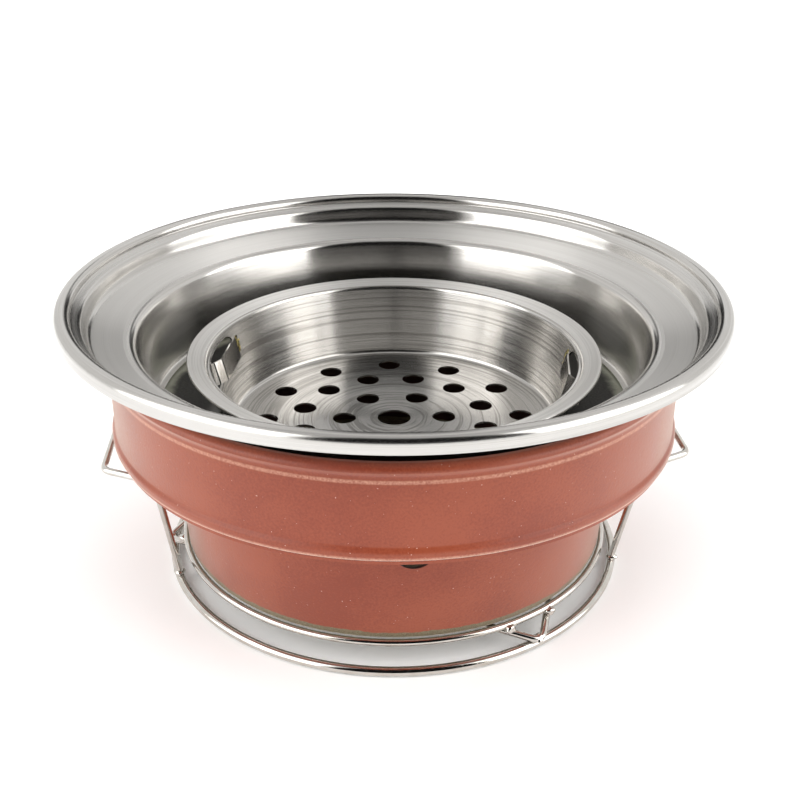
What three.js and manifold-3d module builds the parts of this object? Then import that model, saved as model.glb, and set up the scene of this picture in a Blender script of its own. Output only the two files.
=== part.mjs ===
// Table charcoal brazier: a stepped steel collar and a perforated charcoal pan stand on a
// carrier ring inside an enamelled shell, and the shell sits in a stand of bent wire.
// Millimetres, +Z up. The origin is on the floor, on the axis that all the round pieces share.

import * as THREE from 'three';
import { mergeVertices } from 'three/addons/utils/BufferGeometryUtils.js';
import Module from 'manifold-3d';

const wasm = await Module();
wasm.setup();

// ---------------------------------------------------------------- driving dimensions

const fit = 0.3; // gap between two pieces that rest on each other
const steelSheet = 1.0; // collar, pan and carrier ring
const shellSheet = 1.6; // enamelled band and drum
const turns = 44; // facets round every turned piece
const bendChord = 2.8; // longest chord in the bends of a section

const shell = {
  drumBaseRadius: 114.4,
  drumMouthRadius: 118.5, // the drum widens upwards
  drumHeight: 64.2, // underside of the base to underside of the shoulder
  drumCorner: 2.0, // radius between base and wall
  shoulderBend: 2.4, // radius between wall and shoulder
  bandRadius: 146.8, // plain face of the band
  bandHeight: 47.0,
  beadBulge: 1.6, // how far the lower bead stands proud of the face
  beadHeight: 5.0,
  rimBulge: 1.2, // how far the top rim stands proud of the face
  rimBend: 3.4,
  rimLip: 4.6, // width of the lip turned in at the top
  seatFlange: 9.5, // width of the flange turned in at the bottom
};

const airHole = {
  diameter: 20.0,
  crownClearance: 2.6, // from the top of a hole to the shoulder
  perBank: 5,
  pitch: 22.5, // degrees
  firstAzimuth: -85.0, // degrees; the second bank is opposite
};

const carrier = {
  height: 7.8,
  sidePlay: 4.0, // between its skirt and the band
  innerLip: 4.2, // depth of the lip round the hole
  bend: 1.6,
};

const collar = {
  wallPlay: 16.4, // between the foot of its wall and the lip of the band's rim
  lipWidth: 3.6,
  wallHeight: 41.4,
  wallLean: 5.7,
  beadWidth: 5.6,
  beadRound: 4.6,
  beadRise: 0.5,
  ledgeWidth: 17.9,
  ledgeRise: 5.0,
  riserHeight: 8.0,
  riserLean: 1.0,
  stepWidth: 5.0,
  stepRise: 2.4,
  brimWidth: 7.8,
  brimHeight: 4.3, // crest above the crease at its inner side
  brimRound: 3.2,
  brimSkirt: 7.4, // crest to the lower edge
  softBend: 1.5,
};

const pan = {
  floorRadius: 88.2, // outside, at the foot of the wall
  mouthRadius: 98.2, // outside, where the wall turns into the flange
  height: 43.3,
  hang: 16.2, // underside of the pan below the top of the carrier ring
  flangeWidth: 11.2,
  flangeRise: 2.0,
  flangeSkirt: 2.6,
  footBend: 4.0,
  mouthBend: 3.0,
  edgeBend: 1.4,
};

const perforation = {
  centreDiameter: 18.0,
  diameter: 12.6,
  rows: [
    { radius: 27.0, count: 6, start: 0 },
    { radius: 50.3, count: 12, start: 15 },
    { radius: 69.2, count: 12, start: 0 },
  ],
  turn: 2.8, // degrees that the whole pattern is turned by
  sides: 10,
};

const panWindow = {
  places: [
    { azimuth: -5.4, side: -1 }, // degrees, and the side that the tongue's bent end points to
    { azimuth: 174.6, side: 1 },
  ],
  width: 47.0,
  height: 17.5,
  sill: 19.5, // lower edge above the underside of the pan
  topCorner: 8.0,
  bottomCorner: 2.0,
};

const tongue = {
  height: 12.0,
  aboveSill: 2.0,
  inward: 3.6, // its flat face inside the wall's face, in the middle of the window
  rooted: 1.0, // overlap with the wall at its rooted end
  flat: 28.7, // from the window's end to the first crease
  kink: { length: 6.9, angle: 25 }, // degrees that the metal turns outwards
  hook: { length: 6.5, angle: 50 },
};

const stand = {
  baseWire: 4.8,
  wire: 3.6,
  cradleMargin: 1.4, // cradle ring outside the drum's base
  baseSpread: 6.7, // base ring outside the cradle ring
  wireSides: 8,
};

const foot = {
  azimuths: [-54.5, -174.5, 65.5], // degrees
  halfAngle: 48.0, // degrees between an arm and the radius
  armRun: 30.2, // from the corner of the bend, seen from above
  slope: 0.25, // rise of an arm for each millimetre of run
  overhang: 2.0, // bend outside the base ring's axis
  bend: 6.0,
  steps: 14,
};

const handle = {
  azimuths: [4.2, 184.2], // degrees
  legSpread: 73.0, // between the two feet of one handle
  shoulderSpread: 118.0, // between its upper bends
  barLength: 92.0,
  legLean: 5.2, // how far a leg moves outwards as it rises
  barReach: 0.4, // bar outside the bead of the band
  underBand: 3.6, // between the top of the bar and the shoulder
  shoulderRound: 10.0,
  barRound: 4.5,
  steps: 40,
};

// ---------------------------------------------------------------- heights and radii that follow

const radians = THREE.MathUtils.degToRad;

const cradleRadius = shell.drumBaseRadius + stand.cradleMargin;
const baseRadius = cradleRadius + stand.baseSpread;

const footHalf = radians(foot.halfAngle);
const footCorner = baseRadius + foot.overhang + (foot.bend / 2) * Math.cos(footHalf);
const footAcross = footCorner * Math.sin(footHalf); // from the brazier's axis to an arm's line

/** Run along a foot's arm, from its corner to a circle about the brazier's axis. */
function armRunTo(radius) {
  return footCorner * Math.cos(footHalf) - Math.sqrt(radius ** 2 - footAcross ** 2);
}

/** Height between an arm and a ring that it crosses, for each millimetre of distance. */
function liftAt(radius) {
  const crossing = Math.asin(footAcross / radius);
  return Math.hypot(1, foot.slope / Math.cos(crossing));
}

/** Height of an arm's axis at a run from its corner; the arm lies on the base ring. */
function armHeight(run) {
  const onRing = stand.baseWire / 2 + ((stand.baseWire + stand.wire) / 2 + fit) * liftAt(baseRadius);
  return onRing + foot.slope * (run - armRunTo(baseRadius));
}
const cradleZ = armHeight(armRunTo(cradleRadius)) + (stand.wire + fit) * liftAt(cradleRadius);
const shellZ = armHeight(foot.armRun) + stand.wire / 2 + fit;

const shoulderTop = shell.drumHeight + shellSheet;
const bandZ = shoulderTop + fit;
const bandInside = shell.bandRadius - shellSheet;
const beadRadius = shell.bandRadius + shell.beadBulge;
const rimRadius = shell.bandRadius + shell.rimBulge;
const rimLipRadius = rimRadius - shell.rimLip;

const carrierZ = bandZ + shellSheet + fit;
const carrierTop = carrierZ + carrier.height;
const carrierRadius = bandInside - carrier.sidePlay;
const collarZ = carrierTop + fit;
const panZ = carrierTop - pan.hang;

// ---------------------------------------------------------------- outlines

/**
 * Points of an outline given by its corners. A corner is [r, z] or [r, z, bend], and a bend
 * is drawn as an arc of that radius, in chords.
 */
function outline(corners) {
  const points = [];
  corners.forEach(([r, z, bend = 0], i) => {
    const corner = new THREE.Vector2(r, z);
    if (bend === 0 || i === 0 || i === corners.length - 1) {
      points.push(corner);
      return;
    }
    const back = new THREE.Vector2(corners[i - 1][0] - r, corners[i - 1][1] - z);
    const ahead = new THREE.Vector2(corners[i + 1][0] - r, corners[i + 1][1] - z);
    const half = Math.acos(THREE.MathUtils.clamp(back.dot(ahead) / (back.length() * ahead.length()), -1, 1)) / 2;
    back.normalize();
    ahead.normalize();
    const toCentre = back.clone().add(ahead).normalize();
    const centre = corner.clone().addScaledVector(toCentre, bend / Math.sin(half));
    const start = corner.clone().addScaledVector(back, bend / Math.tan(half)).sub(centre);
    const sweep = (Math.PI - 2 * half) * Math.sign(start.cross(toCentre.clone().negate()));
    const steps = Math.ceil((bend * Math.abs(sweep)) / bendChord);
    for (let step = 0; step <= steps; step++) {
      points.push(start.clone().rotateAround(new THREE.Vector2(), (sweep * step) / steps).add(centre));
    }
  });
  return points;
}

/**
 * Closed section of a sheet: one face, and the same face moved sideways by the thickness, to
 * the right of its run, or to the left when the thickness is negative.
 */
function sheetSection(face, thickness) {
  const other = face.map((point, i) => {
    const before = face[Math.max(i - 1, 0)];
    const after = face[Math.min(i + 1, face.length - 1)];
    const into = point.clone().sub(before).normalize();
    const out = after.clone().sub(point).normalize();
    if (i === 0) into.copy(out);
    if (i === face.length - 1) out.copy(into);
    const normal = new THREE.Vector2(into.y + out.y, -into.x - out.x).normalize();
    const mitre = normal.dot(new THREE.Vector2(into.y, -into.x));
    return point.clone().addScaledVector(normal, thickness / mitre);
  });
  const section = [...face, ...other.reverse()];
  return thickness > 0 ? section.reverse() : section;
}

// ---------------------------------------------------------------- solids

/** Positions only, with shared vertices merged, as a closed solid is stored. */
function bare(geometry) {
  const plain = geometry.clone();
  plain.deleteAttribute('normal');
  plain.deleteAttribute('uv');
  return mergeVertices(plain, 1e-4);
}

function toManifold(geometry) {
  const plain = bare(geometry);
  return new wasm.Manifold(new wasm.Mesh({
    numProp: 3,
    vertProperties: new Float32Array(plain.attributes.position.array),
    triVerts: new Uint32Array(plain.index.array),
  }));
}

function fromManifold(solid) {
  const mesh = solid.getMesh();
  const geometry = new THREE.BufferGeometry();
  geometry.setAttribute('position', new THREE.BufferAttribute(mesh.vertProperties, 3));
  geometry.setIndex(new THREE.BufferAttribute(mesh.triVerts, 1));
  geometry.computeVertexNormals();
  return geometry;
}

/** Solid of revolution about Z of a section that closes on itself or ends on the axis. */
function turned(section, segments = turns) {
  const onAxis = section[0].x === 0;
  const loop = onAxis ? section : [...section, section[0]];
  const geometry = bare(new THREE.LatheGeometry(loop, segments));
  return geometry.rotateX(Math.PI / 2);
}

/** Ring of round wire with a flat facet underneath, so that it stands on a face. */
function wireRing(radius, wire) {
  const sides = stand.wireSides;
  const corner = wire / 2 / Math.cos(Math.PI / sides);
  const section = Array.from({ length: sides }, (_, i) => {
    const angle = ((2 * i + 1) * Math.PI) / sides;
    return new THREE.Vector2(radius + corner * Math.cos(angle), corner * Math.sin(angle));
  });
  return turned(section);
}

/** Wire bent along straight runs, with a round bend at every inner point. */
function bentWire(points, bends, wire, steps) {
  const path = new THREE.CurvePath();
  let from = points[0];
  for (let i = 1; i < points.length - 1; i++) {
    const back = points[i - 1].clone().sub(points[i]).normalize();
    const ahead = points[i + 1].clone().sub(points[i]).normalize();
    const start = points[i].clone().addScaledVector(back, bends[i - 1]);
    const end = points[i].clone().addScaledVector(ahead, bends[i - 1]);
    path.add(new THREE.LineCurve3(from, start));
    path.add(new THREE.QuadraticBezierCurve3(start, points[i], end));
    from = end;
  }
  path.add(new THREE.LineCurve3(from, points.at(-1)));
  const section = new THREE.Shape().absarc(0, 0, wire / 2, 0, 2 * Math.PI);
  return bare(new THREE.ExtrudeGeometry(section, {
    steps,
    curveSegments: stand.wireSides / 2, // a full circle is drawn with twice as many
    extrudePath: path,
  }));
}

/** Upright cylinder about a point, for cutting a hole through a floor. */
function plug(diameter, height, x, y, sides) {
  const geometry = new THREE.CylinderGeometry(diameter / 2, diameter / 2, height, sides);
  return geometry.rotateX(Math.PI / 2).translate(x, y, 0);
}

// ---------------------------------------------------------------- enamelled shell

function drumGeometry() {
  const wallRun = (shell.drumMouthRadius - shell.drumBaseRadius) / shell.drumHeight;
  const outside = outline([
    [0, 0],
    [shell.drumBaseRadius, 0, shell.drumCorner],
    [shell.drumMouthRadius, shell.drumHeight, shell.shoulderBend],
    [shell.bandRadius - fit, shell.drumHeight],
  ]);
  const section = sheetSection(outside, -shellSheet);
  section.at(-1).x = 0;
  let drum = toManifold(turned(section));

  const holeZ = shell.drumHeight - airHole.crownClearance - airHole.diameter / 2;
  const holeRadius = shell.drumBaseRadius + wallRun * holeZ;
  for (const bank of [0, 180]) {
    for (let i = 0; i < airHole.perBank; i++) {
      const azimuth = radians(bank + airHole.firstAzimuth + i * airHole.pitch);
      const drill = new THREE.CylinderGeometry(airHole.diameter / 2, airHole.diameter / 2, 16, 14);
      drill.rotateZ(Math.PI / 2).translate(holeRadius, 0, holeZ).rotateZ(azimuth);
      drum = drum.subtract(toManifold(drill));
    }
  }
  return fromManifold(drum);
}

function bandGeometry() {
  const { bandHeight, beadHeight, rimBend } = shell;
  const beadRound = beadHeight / 2 - 0.1;
  const faceStart = beadHeight + shell.beadBulge;
  const faceEnd = bandHeight - rimBend - shell.rimBulge * 2;
  const outside = outline([
    [bandInside - shell.seatFlange, 0],
    [beadRadius, 0, beadRound],
    [beadRadius, beadHeight, beadRound],
    [shell.bandRadius, faceStart, shell.beadBulge],
    [shell.bandRadius, faceEnd],
    [rimRadius, faceEnd + shell.rimBulge * 2],
    [rimRadius, bandHeight, rimBend],
    [rimLipRadius, bandHeight],
  ]);
  const inside = outline([
    [bandInside - shell.seatFlange, shellSheet],
    [bandInside, shellSheet, shellSheet],
    [bandInside, bandHeight - shellSheet, rimBend - shellSheet],
    [rimLipRadius, bandHeight - shellSheet],
  ]);
  return turned([...outside, ...inside.reverse()]);
}

// ---------------------------------------------------------------- loose steel pieces

/** Outside radius of the pan's wall at a height above its underside. */
function panRadiusAt(z) {
  return pan.floorRadius + ((pan.mouthRadius - pan.floorRadius) * z) / (pan.height - pan.flangeRise);
}

function carrierGeometry() {
  const seat = (z) => panRadiusAt(pan.hang - carrier.height + z) + fit;
  const top = outline([
    [carrierRadius, 0],
    [carrierRadius, carrier.height, carrier.bend + steelSheet],
    [seat(carrier.height), carrier.height],
    [seat(carrier.height - carrier.innerLip), carrier.height - carrier.innerLip],
  ]);
  return turned(sheetSection(top, -steelSheet));
}

function collarGeometry() {
  const footRadius = rimLipRadius - collar.wallPlay;
  const beadInner = footRadius + collar.wallLean;
  const ledgeInner = beadInner + collar.beadWidth;
  const riserFoot = ledgeInner + collar.ledgeWidth;
  const riserHead = riserFoot + collar.riserLean;
  const brimInner = riserHead + collar.stepWidth;
  const outer = brimInner + collar.brimWidth;

  const beadTop = collar.wallHeight;
  const ledgeLow = beadTop + collar.beadRise;
  const ledgeHigh = ledgeLow + collar.ledgeRise;
  const stepLow = ledgeHigh + collar.riserHeight;
  const stepHigh = stepLow + collar.stepRise;
  const crest = stepHigh + collar.brimHeight;

  const face = outline([
    [footRadius - collar.lipWidth, steelSheet],
    [footRadius, steelSheet, collar.softBend],
    [beadInner, beadTop, collar.beadRound],
    [ledgeInner, ledgeLow],
    [riserFoot, ledgeHigh, collar.softBend],
    [riserHead, stepLow, collar.softBend],
    [brimInner, stepHigh],
    [brimInner, crest, collar.brimRound],
    [outer, crest, collar.brimRound],
    [outer, crest - collar.brimSkirt],
  ]);
  return turned(sheetSection(face, steelSheet));
}

/** Window through one side of the pan, as a block along +X with rounded corners. */
function windowCutter() {
  const { width, height, topCorner, bottomCorner } = panWindow;
  const half = width / 2;
  const shape = new THREE.Shape()
    .moveTo(-half + bottomCorner, 0)
    .lineTo(half - bottomCorner, 0)
    .absarc(half - bottomCorner, bottomCorner, bottomCorner, -Math.PI / 2, 0)
    .absarc(half - topCorner, height - topCorner, topCorner, 0, Math.PI / 2)
    .absarc(-half + topCorner, height - topCorner, topCorner, Math.PI / 2, Math.PI)
    .absarc(-half + bottomCorner, bottomCorner, bottomCorner, Math.PI, 1.5 * Math.PI);
  const depth = pan.mouthRadius / 2;
  const block = new THREE.ExtrudeGeometry(shape, { depth, bevelEnabled: false, curveSegments: 3 });
  return block.rotateX(Math.PI / 2).rotateZ(Math.PI / 2).translate(pan.floorRadius - depth / 2, 0, panWindow.sill);
}

/**
 * Lifting tongue of a window, in the window's own frame: +X points outwards. Its metal stays
 * rooted at one end, runs flat across the window and turns outwards near its other end.
 */
function tongueSolid(side) {
  const { flat, kink, hook, height } = tongue;
  const middle = panWindow.sill + tongue.aboveSill + height / 2;
  const taper = (pan.mouthRadius - pan.floorRadius) / (pan.height - pan.flangeRise);
  const root = new THREE.Vector2(panRadiusAt(middle) - tongue.inward, -panWindow.width / 2);
  const along = (from, { length, angle }) => new THREE.Vector2(
    from.x + length * Math.sin(radians(angle)),
    from.y + length * Math.cos(radians(angle)),
  );
  const creaseA = along(root, { length: flat, angle: 0 });
  const creaseB = along(creaseA, kink);
  const face = [root.setY(root.y - tongue.rooted), creaseA, creaseB, along(creaseB, hook)];
  const plan = sheetSection(face, -steelSheet).map(({ x, y }) => new THREE.Vector2(x, side * y));
  const strip = new THREE.ExtrudeGeometry(new THREE.Shape(plan), { depth: height, bevelEnabled: false });
  strip.translate(0, 0, -height / 2);
  strip.applyMatrix4(new THREE.Matrix4().makeShear(0, 0, 0, 0, taper, 0));
  return toManifold(strip.translate(0, 0, middle));
}

function panGeometry() {
  const flangeRadius = pan.mouthRadius + pan.flangeWidth;
  const wallTop = pan.height - pan.flangeRise;
  const outside = outline([
    [0, 0],
    [pan.floorRadius, 0, pan.footBend],
    [pan.mouthRadius, wallTop - steelSheet, pan.mouthBend],
    [flangeRadius - steelSheet, pan.height - steelSheet, pan.edgeBend - steelSheet],
    [flangeRadius - steelSheet, pan.height - pan.flangeSkirt],
  ]);
  const section = sheetSection(outside, -steelSheet);
  section.at(-1).x = 0;
  let solid = toManifold(turned(section));

  const drills = [plug(perforation.centreDiameter, 6 * steelSheet, 0, 0, perforation.sides + 4)];
  for (const { radius, count, start } of perforation.rows) {
    for (let i = 0; i < count; i++) {
      const azimuth = radians(perforation.turn + start + (i * 360) / count);
      const [x, y] = [radius * Math.cos(azimuth), radius * Math.sin(azimuth)];
      drills.push(plug(perforation.diameter, 6 * steelSheet, x, y, perforation.sides));
    }
  }
  for (const drill of drills) solid = solid.subtract(toManifold(drill));

  const cutter = windowCutter();
  for (const { azimuth, side } of panWindow.places) {
    solid = solid.subtract(toManifold(cutter.clone().rotateZ(radians(azimuth))));
    solid = solid.add(tongueSolid(side).rotate([0, 0, azimuth]));
  }
  return fromManifold(solid);
}

// ---------------------------------------------------------------- wire stand

/** Hairpin foot in its own frame: +X points outwards, and the bend lies on the base ring. */
function footGeometry() {
  const arm = (side) => new THREE.Vector3(
    footCorner - foot.armRun * Math.cos(footHalf),
    side * foot.armRun * Math.sin(footHalf),
    armHeight(foot.armRun),
  );
  const points = [arm(-1), new THREE.Vector3(footCorner, 0, armHeight(0)), arm(1)];
  return bentWire(points, [foot.bend], stand.wire, foot.steps);
}

/** Carrying handle in its own frame: two legs from the base ring, and a bar beyond the band. */
function handleGeometry() {
  const halfLeg = handle.legSpread / 2;
  const legFoot = Math.sqrt(baseRadius ** 2 - halfLeg ** 2);
  const barZ = shellZ + shell.drumHeight - handle.underBand - stand.wire / 2;
  const legTilt = Math.atan2(Math.hypot(handle.legLean, handle.shoulderSpread / 2 - halfLeg), barZ);
  const footZ = stand.baseWire + fit + (stand.wire / 2) * Math.sin(legTilt);
  const side = (sign) => [
    new THREE.Vector3(legFoot, sign * halfLeg, footZ),
    new THREE.Vector3(legFoot + handle.legLean, (sign * handle.shoulderSpread) / 2, barZ),
    new THREE.Vector3(beadRadius + handle.barReach, (sign * handle.barLength) / 2, barZ),
  ];
  const points = [...side(-1), ...side(1).reverse()];
  const { shoulderRound, barRound } = handle;
  return bentWire(points, [shoulderRound, barRound, barRound, shoulderRound], stand.wire, handle.steps);
}

// ---------------------------------------------------------------- assembly

const finishes = {
  brushed: { color: 0xc9c8c1, roughness: 0.34, metalness: 1.0 },
  plain: { color: 0x9c9c90, roughness: 0.5, metalness: 0.9 },
  enamel: { color: 0xb4604a, roughness: 0.48, metalness: 0.0 },
  wire: { color: 0xd2d0c8, roughness: 0.16, metalness: 1.0 },
};

function piece(name, geometry, finish, z = 0, azimuth = 0) {
  const mesh = new THREE.Mesh(geometry, new THREE.MeshStandardMaterial(finishes[finish]));
  mesh.name = name;
  mesh.position.z = z;
  mesh.rotation.z = radians(azimuth);
  return mesh;
}

const wireStand = new THREE.Group();
wireStand.add(piece('base_ring', wireRing(baseRadius, stand.baseWire), 'wire', stand.baseWire / 2));
wireStand.add(piece('cradle_ring', wireRing(cradleRadius, stand.wire), 'wire', cradleZ));
foot.azimuths.forEach((azimuth, i) => {
  wireStand.add(piece(`foot_wire_${i + 1}`, footGeometry(), 'wire', 0, azimuth));
});
['handle_right', 'handle_left'].forEach((name, i) => {
  wireStand.add(piece(name, handleGeometry(), 'wire', 0, handle.azimuths[i]));
});

const enamelShell = new THREE.Group();
enamelShell.position.z = shellZ;
enamelShell.add(piece('lower_drum', drumGeometry(), 'enamel'));
enamelShell.add(piece('upper_band', bandGeometry(), 'enamel', bandZ));
enamelShell.add(piece('carrier_ring', carrierGeometry(), 'plain', carrierZ));
enamelShell.add(piece('collar', collarGeometry(), 'brushed', collarZ));
enamelShell.add(piece('charcoal_pan', panGeometry(), 'brushed', panZ));

const brazier = new THREE.Group();
brazier.add(wireStand, enamelShell);

export default brazier;
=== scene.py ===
"""Looks of a table charcoal brazier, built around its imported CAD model.

Every piece is a surface worked out with numpy in millimetres, in the frame of the CAD model
(+Z up, origin on the floor, on the axis that all the round pieces share), and put into its mesh
in metres. Each one stands for the CAD node of the same shape and rides on that node's body.
"""

import logging
import math
from dataclasses import dataclass, field
from enum import Enum
from typing import Iterable, Sequence

import bmesh
import bpy
import numpy as np
from mathutils import Matrix, Vector

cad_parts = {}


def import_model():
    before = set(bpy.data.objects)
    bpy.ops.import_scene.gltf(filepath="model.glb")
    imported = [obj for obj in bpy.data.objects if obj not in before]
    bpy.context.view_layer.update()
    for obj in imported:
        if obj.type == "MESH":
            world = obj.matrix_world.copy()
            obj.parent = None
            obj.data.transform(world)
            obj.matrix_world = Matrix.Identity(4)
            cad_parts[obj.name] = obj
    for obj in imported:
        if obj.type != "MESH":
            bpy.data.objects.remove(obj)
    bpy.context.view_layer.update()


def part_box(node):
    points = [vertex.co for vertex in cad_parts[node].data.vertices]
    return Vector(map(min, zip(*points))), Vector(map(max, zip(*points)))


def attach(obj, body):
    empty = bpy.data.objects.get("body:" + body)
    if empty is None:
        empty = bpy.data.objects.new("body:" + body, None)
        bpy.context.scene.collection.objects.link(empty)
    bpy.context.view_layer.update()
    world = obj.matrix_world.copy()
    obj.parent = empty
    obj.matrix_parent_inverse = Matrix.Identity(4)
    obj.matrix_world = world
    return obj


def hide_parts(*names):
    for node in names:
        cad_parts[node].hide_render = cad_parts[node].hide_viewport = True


log = logging.getLogger("brazier")

MM = 0.001
SEGMENTS = 480
FEWEST_CHORDS = 6
MOST_CHORDS = 14
MERGED_WITHIN = 2e-6
NO_LONGER_THAN = 1e-7
THINNEST_STRIP = 0.01

Array = np.ndarray
Corner = tuple[float, ...]
Place = tuple[float, float, float]
Colour = tuple[float, float, float, float]
Piece = bpy.types.Object
Material = bpy.types.Material
Socket = bpy.types.NodeSocket


class Slot(Enum):
    """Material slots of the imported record."""

    WIRE = "wire"
    ENAMEL = "enamel"
    PLAIN = "plain"
    BRUSHED = "brushed"


class Body(Enum):
    """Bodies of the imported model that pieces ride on."""

    STAND = "stand"
    SHELL = "shell"
    CARRIER = "carrier"
    COLLAR = "collar"
    PAN = "pan"


# ---------------------------------------------------------------- outlines and surfaces


def bent_outline(corners: Sequence[Corner], chord: float = 0.5) -> Array:
    """Polyline of an outline whose corners are rounded.

    A corner between two runs that meet at the inner angle 2h gives way to an arc of its bend
    radius b. The arc's centre lies b / sin(h) along the bisector, and the arc touches both runs
    b / tan(h) away from the corner.

    Args:
        corners: (x, y) or (x, y, bend) of each corner, in millimetres.
        chord: chord aimed at, within the bounds on the number of chords of an arc.

    Returns:
        The points, as an array of shape (n, 2).
    """
    places = np.array([corner[:2] for corner in corners], float)
    bends = [corner[2] if len(corner) > 2 else 0.0 for corner in corners]
    runs = [places[:1]]
    for i in range(1, len(places) - 1):
        if bends[i] == 0.0:
            runs.append(places[i : i + 1])
            continue
        back = places[i - 1] - places[i]
        ahead = places[i + 1] - places[i]
        back /= np.linalg.norm(back)
        ahead /= np.linalg.norm(ahead)
        half = math.acos(np.clip(back @ ahead, -1.0, 1.0)) / 2
        bisector = (back + ahead) / np.linalg.norm(back + ahead)
        centre = places[i] + bisector * bends[i] / math.sin(half)
        arm = places[i] + back * bends[i] / math.tan(half) - centre
        turn = math.copysign(math.pi - 2 * half, -(arm[0] * bisector[1] - arm[1] * bisector[0]))
        steps = math.ceil(bends[i] * abs(turn) / chord)
        steps = min(MOST_CHORDS, max(FEWEST_CHORDS, steps))
        angle = turn * np.arange(steps + 1) / steps
        x = arm[0] * np.cos(angle) - arm[1] * np.sin(angle)
        y = arm[0] * np.sin(angle) + arm[1] * np.cos(angle)
        runs.append(centre + np.stack([x, y], axis=1))
    runs.append(places[-1:])
    return np.concatenate(runs)


def refined(points: Array, longest: float) -> Array:
    """Points of a polyline with its long runs split evenly.

    Args:
        points: (n, k) points of the polyline.
        longest: longest run that is left.

    Returns:
        The (m, k) points, which hold the given ones.
    """
    runs = []
    for start, end in zip(points[:-1], points[1:]):
        steps = max(1, math.ceil(np.linalg.norm(end - start) / longest))
        runs.append(start + (end - start) * (np.arange(steps) / steps)[:, None])
    return np.concatenate([*runs, points[-1:]])


def sheet_section(face: Array, thickness: float) -> Array:
    """Closed section of a bent sheet.

    The other face is the given one moved sideways by the thickness, along the mitred normal of
    each point, to the left of the run where the thickness is negative.

    Args:
        face: (n, 2) points of one face.
        thickness: thickness of the sheet, signed.

    Returns:
        The (2 n, 2) points of the loop.
    """
    run = np.diff(face, axis=0)
    run /= np.linalg.norm(run, axis=1)[:, None]
    into = np.concatenate([run[:1], run])
    out = np.concatenate([run, run[-1:]])
    normal = np.stack([into[:, 1] + out[:, 1], -into[:, 0] - out[:, 0]], axis=1)
    normal /= np.linalg.norm(normal, axis=1)[:, None]
    mitre = normal[:, 0] * into[:, 1] - normal[:, 1] * into[:, 0]
    other = face + normal * (thickness / mitre)[:, None]
    return np.concatenate([face, other[::-1]])


def longest_run_of(points: Array) -> int:
    """Index of the point where a polyline's longest run starts."""
    return int(np.argmax(np.linalg.norm(np.diff(points, axis=0), axis=1)))


def around(profile: Array, azimuths: Array) -> Array:
    """Surface of revolution: (r, z) at an azimuth a is the point (r cos a, r sin a, z).

    Args:
        profile: (n, 2) radii and heights.
        azimuths: (m,) azimuths in degrees.

    Returns:
        Grid of points, (m, n, 3).
    """
    angle = np.radians(azimuths)[:, None]
    radius = profile[None, :, 0]
    height = np.broadcast_to(profile[None, :, 1], (len(azimuths), len(profile)))
    return np.stack([radius * np.cos(angle), radius * np.sin(angle), height], axis=2)


def carried(path: Array, radius: float | Array, sides: int) -> Array:
    """Round section carried along a path.

    The section's first axis is turned at each point by the least that keeps it square to the
    path, so the tube doesn't twist.

    Args:
        path: (n, 3) points of the wire's axis.
        radius: radius of the wire, one for all or one for each point.
        sides: points of the section.

    Returns:
        Grid of points, (n, sides, 3).
    """
    along = np.gradient(path, axis=0)
    along /= np.linalg.norm(along, axis=1)[:, None]
    across = np.empty_like(along)
    start = np.cross(along[0], (0.0, 0.0, 1.0))
    across[0] = start / np.linalg.norm(start)
    for i in range(1, len(path)):
        kept = across[i - 1] - along[i] * (across[i - 1] @ along[i])
        across[i] = kept / np.linalg.norm(kept)
    upright = np.cross(along, across)
    angle = np.linspace(0.0, 2 * math.pi, sides, endpoint=False)
    size = np.broadcast_to(np.asarray(radius, float), (len(path),))[:, None, None]
    ring = across[:, None] * np.cos(angle)[:, None] + upright[:, None] * np.sin(angle)[:, None]
    return path[:, None] + size * ring


def reach_of(outline: Array, angles: Array) -> Array:
    """Distance from the origin to a closed outline around it.

    Args:
        outline: (n, 2) points of the outline.
        angles: the directions, in radians.

    Returns:
        The distance in each direction.
    """
    own = np.arctan2(outline[:, 1], outline[:, 0])
    order = np.argsort(own)
    return np.interp(angles, own[order], np.hypot(*outline[order].T), period=2 * math.pi)


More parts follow.
